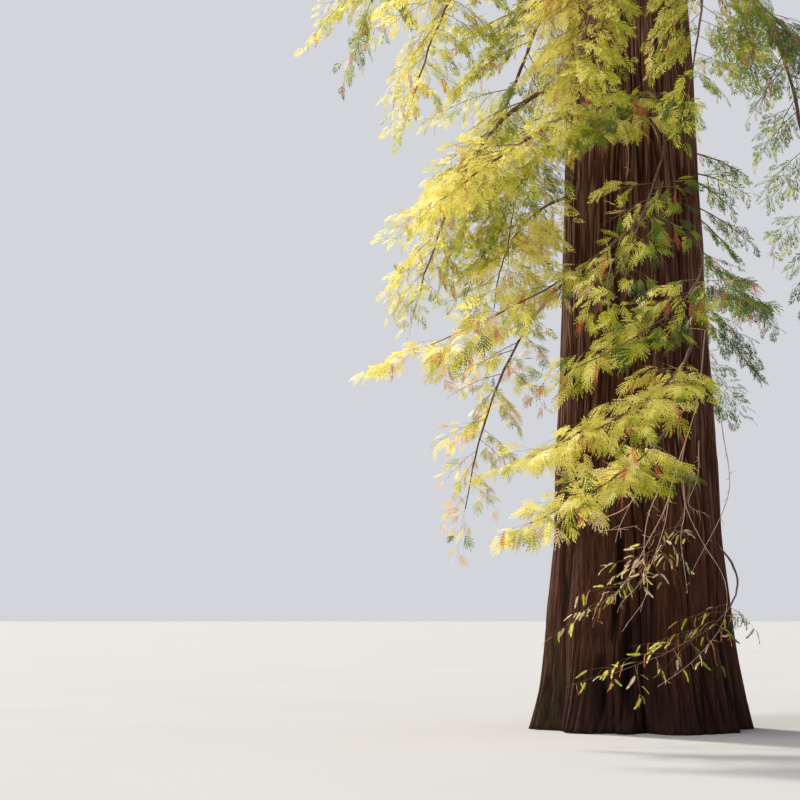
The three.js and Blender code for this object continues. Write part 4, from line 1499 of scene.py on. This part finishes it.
def deal_tints(part, rows):
    """Each fan's tint. The dead and the faded ones are drawn by chance.

    The rest are put in order by how far they stand out from their own limb's stem towards the light, in
    breadths, plus some chance, and the tints are dealt out in that order by their shares, from painted sun to
    painted shade.
    """
    shares = TINT_SHARES[part]
    names = list(shares)
    middle = point_ahead(rows, MIDDLE)
    light = rng.normal(0, UNEVENNESS[part], len(middle)) - LEFT_IS_LIGHTER[part] * middle[:, 0]
    light += of_limbs(LIGHTER_LIMBS, rows, 0)
    for start in range(0, len(middle), BATCH):
        batch = middle[start:start + BATCH]
        nearest = np.linalg.norm(batch[:, None] - SPINES, axis=-1).argmin(1)
        light[start:start + BATCH] += (batch - SPINES[nearest]) @ TO_THE_LIGHT / BREADTH[part]
    order = np.argsort(np.argsort(-light)) / len(light)
    edges = np.cumsum([shares[name] for name in LIVING]) / sum(shares[name] for name in LIVING)
    tint = np.minimum(np.searchsorted(edges, order), len(LIVING) - 1)
    dead = np.maximum(shares["rust"], of_limbs(RUSTY, rows, 0))
    tint[rng.random(len(middle)) < dead] = names.index("rust")
    if "faded" in names:
        tint[rng.random(len(middle)) < of_limbs(FADED, rows, 0)] = names.index("faded")
    return tint


tints = {part: deal_tints(part, fans[part]) for part in PARTS}
for part in PARTS:
    print(part, "has", *np.bincount(tints[part]), "fans of", *TINT_SHARES[part])

# %% Dead fans hang down
HANG = 1.8
SHRIVELLED = 0.5


def hang_down(rows, which):
    """Dead fans are narrow and droop: their direction is their own plus HANG times straight down."""
    rows["direction"][which] = unit(rows["direction"][which] - HANG * UP)
    rows["aside"][which] = unit(np.cross(rows["above"][which], rows["direction"][which]))
    rows["above"][which] = np.cross(rows["direction"][which], rows["aside"][which])
    rows["aside"][which] *= SHRIVELLED


for part in PARTS:
    dead = tints[part] == list(TINT_SHARES[part]).index("rust")
    hang_down(fans[part], dead)
    print(part, "has", dead.sum(), "dead fans")

# %% Build the needles
# A limb whose sprays are narrower than this carries sprigs
NARROW = 0.5


def place_fans(rows, templates):
    """Every fan's points: foot + length (x direction + y aside + z above). Narrow sprays take the sprigs."""
    kind = rng.integers(0, len(templates), len(rows["length"]))
    narrow = of_limbs(SLENDER, rows) < NARROW
    kind[narrow] = len(templates) + kind[narrow] % len(SPRIGS)
    parts = []
    for number, (points, faces) in enumerate(templates + SPRIGS):
        mine = pick(rows, kind == number)
        x, y, z = points.T[:, None, :, None]
        shape = x * mine["direction"][:, None] + y * mine["aside"][:, None] + z * mine["above"][:, None]
        placed = mine["foot"][:, None] + mine["length"][:, None, None] * shape
        moved = faces[None] + (np.arange(len(placed)) * len(points))[:, None, None]
        parts.append((placed.reshape(-1, 3), [moved.reshape(-1, 3)]))
    return joined(parts)


for part, rows in fans.items():
    for number, name in enumerate(TINT_SHARES[part]):
        points, faces = place_fans(pick(rows, tints[part] == number), FANS[part])
        piece = mesh_piece(f"{part}_needles_{name}", points, faces, needle_materials[name])
        fit(piece, masses(PARTS[part]))

# %% [markdown]
# ## Floor and light
# The tree stands on a plain pale floor. Soft light from all round keeps the bark's furrows readable, a warm
# sun from the left behind shines through the needles as in the photograph, and a weaker one from the left
# in front models the trunk.

# %% Floor
FLOOR_HALF = 3000.0
FLOOR_DARK = (0.350, 0.350, 0.355)
FLOOR_LIGHT = (0.385, 0.385, 0.390)

floor_material, tree, shader = new_material("floor", roughness=0.9, specular=0.1)
colour = mottle(tree, FLOOR_DARK, FLOOR_LIGHT, scale=0.4, stretch=1, contrast=1.0)
tree.links.new(colour.outputs["Color"], shader.inputs["Base Color"])
corners = FLOOR_HALF * np.array([(-1, -1, 0), (1, -1, 0), (1, 1, 0), (-1, 1, 0)])
floor = mesh_piece("floor", corners, [np.array([[0, 1, 2, 3]])], floor_material)


# %% Light
def sun(name, direction, strength, colour, breadth):
    """A sun lamp that shines along a direction. A broader one, in degrees, gives softer shadows."""
    lamp = bpy.data.lights.new(name, "SUN")
    lamp.energy = strength
    lamp.color = colour
    lamp.angle = math.radians(breadth)
    holder = bpy.data.objects.new(name, lamp)
    holder.rotation_euler = Vector(direction).to_track_quat("-Z", "Y").to_euler()
    bpy.context.scene.collection.objects.link(holder)


SOFT_COLOUR = (0.93, 0.95, 1.0, 1)
SOFT_STRENGTH = 0.7
FROM_BEHIND = (0.55, -0.75, -0.85)
FROM_IN_FRONT = (0.75, 0.6, -0.75)

sun("sun_behind", FROM_BEHIND, strength=5.2, colour=(1.0, 0.94, 0.82), breadth=6)
sun("sun_in_front", FROM_IN_FRONT, strength=1.9, colour=(1.0, 0.97, 0.92), breadth=12)
world = bpy.data.worlds.new("studio")
bpy.context.scene.world = world
world.use_nodes = True
background = world.node_tree.nodes["Background"]
background.inputs["Color"].default_value = SOFT_COLOUR
background.inputs["Strength"].default_value = SOFT_STRENGTH
bpy.context.scene.view_settings.view_transform = "Standard"
print("lamps:", *[lamp.name for lamp in bpy.data.lights])
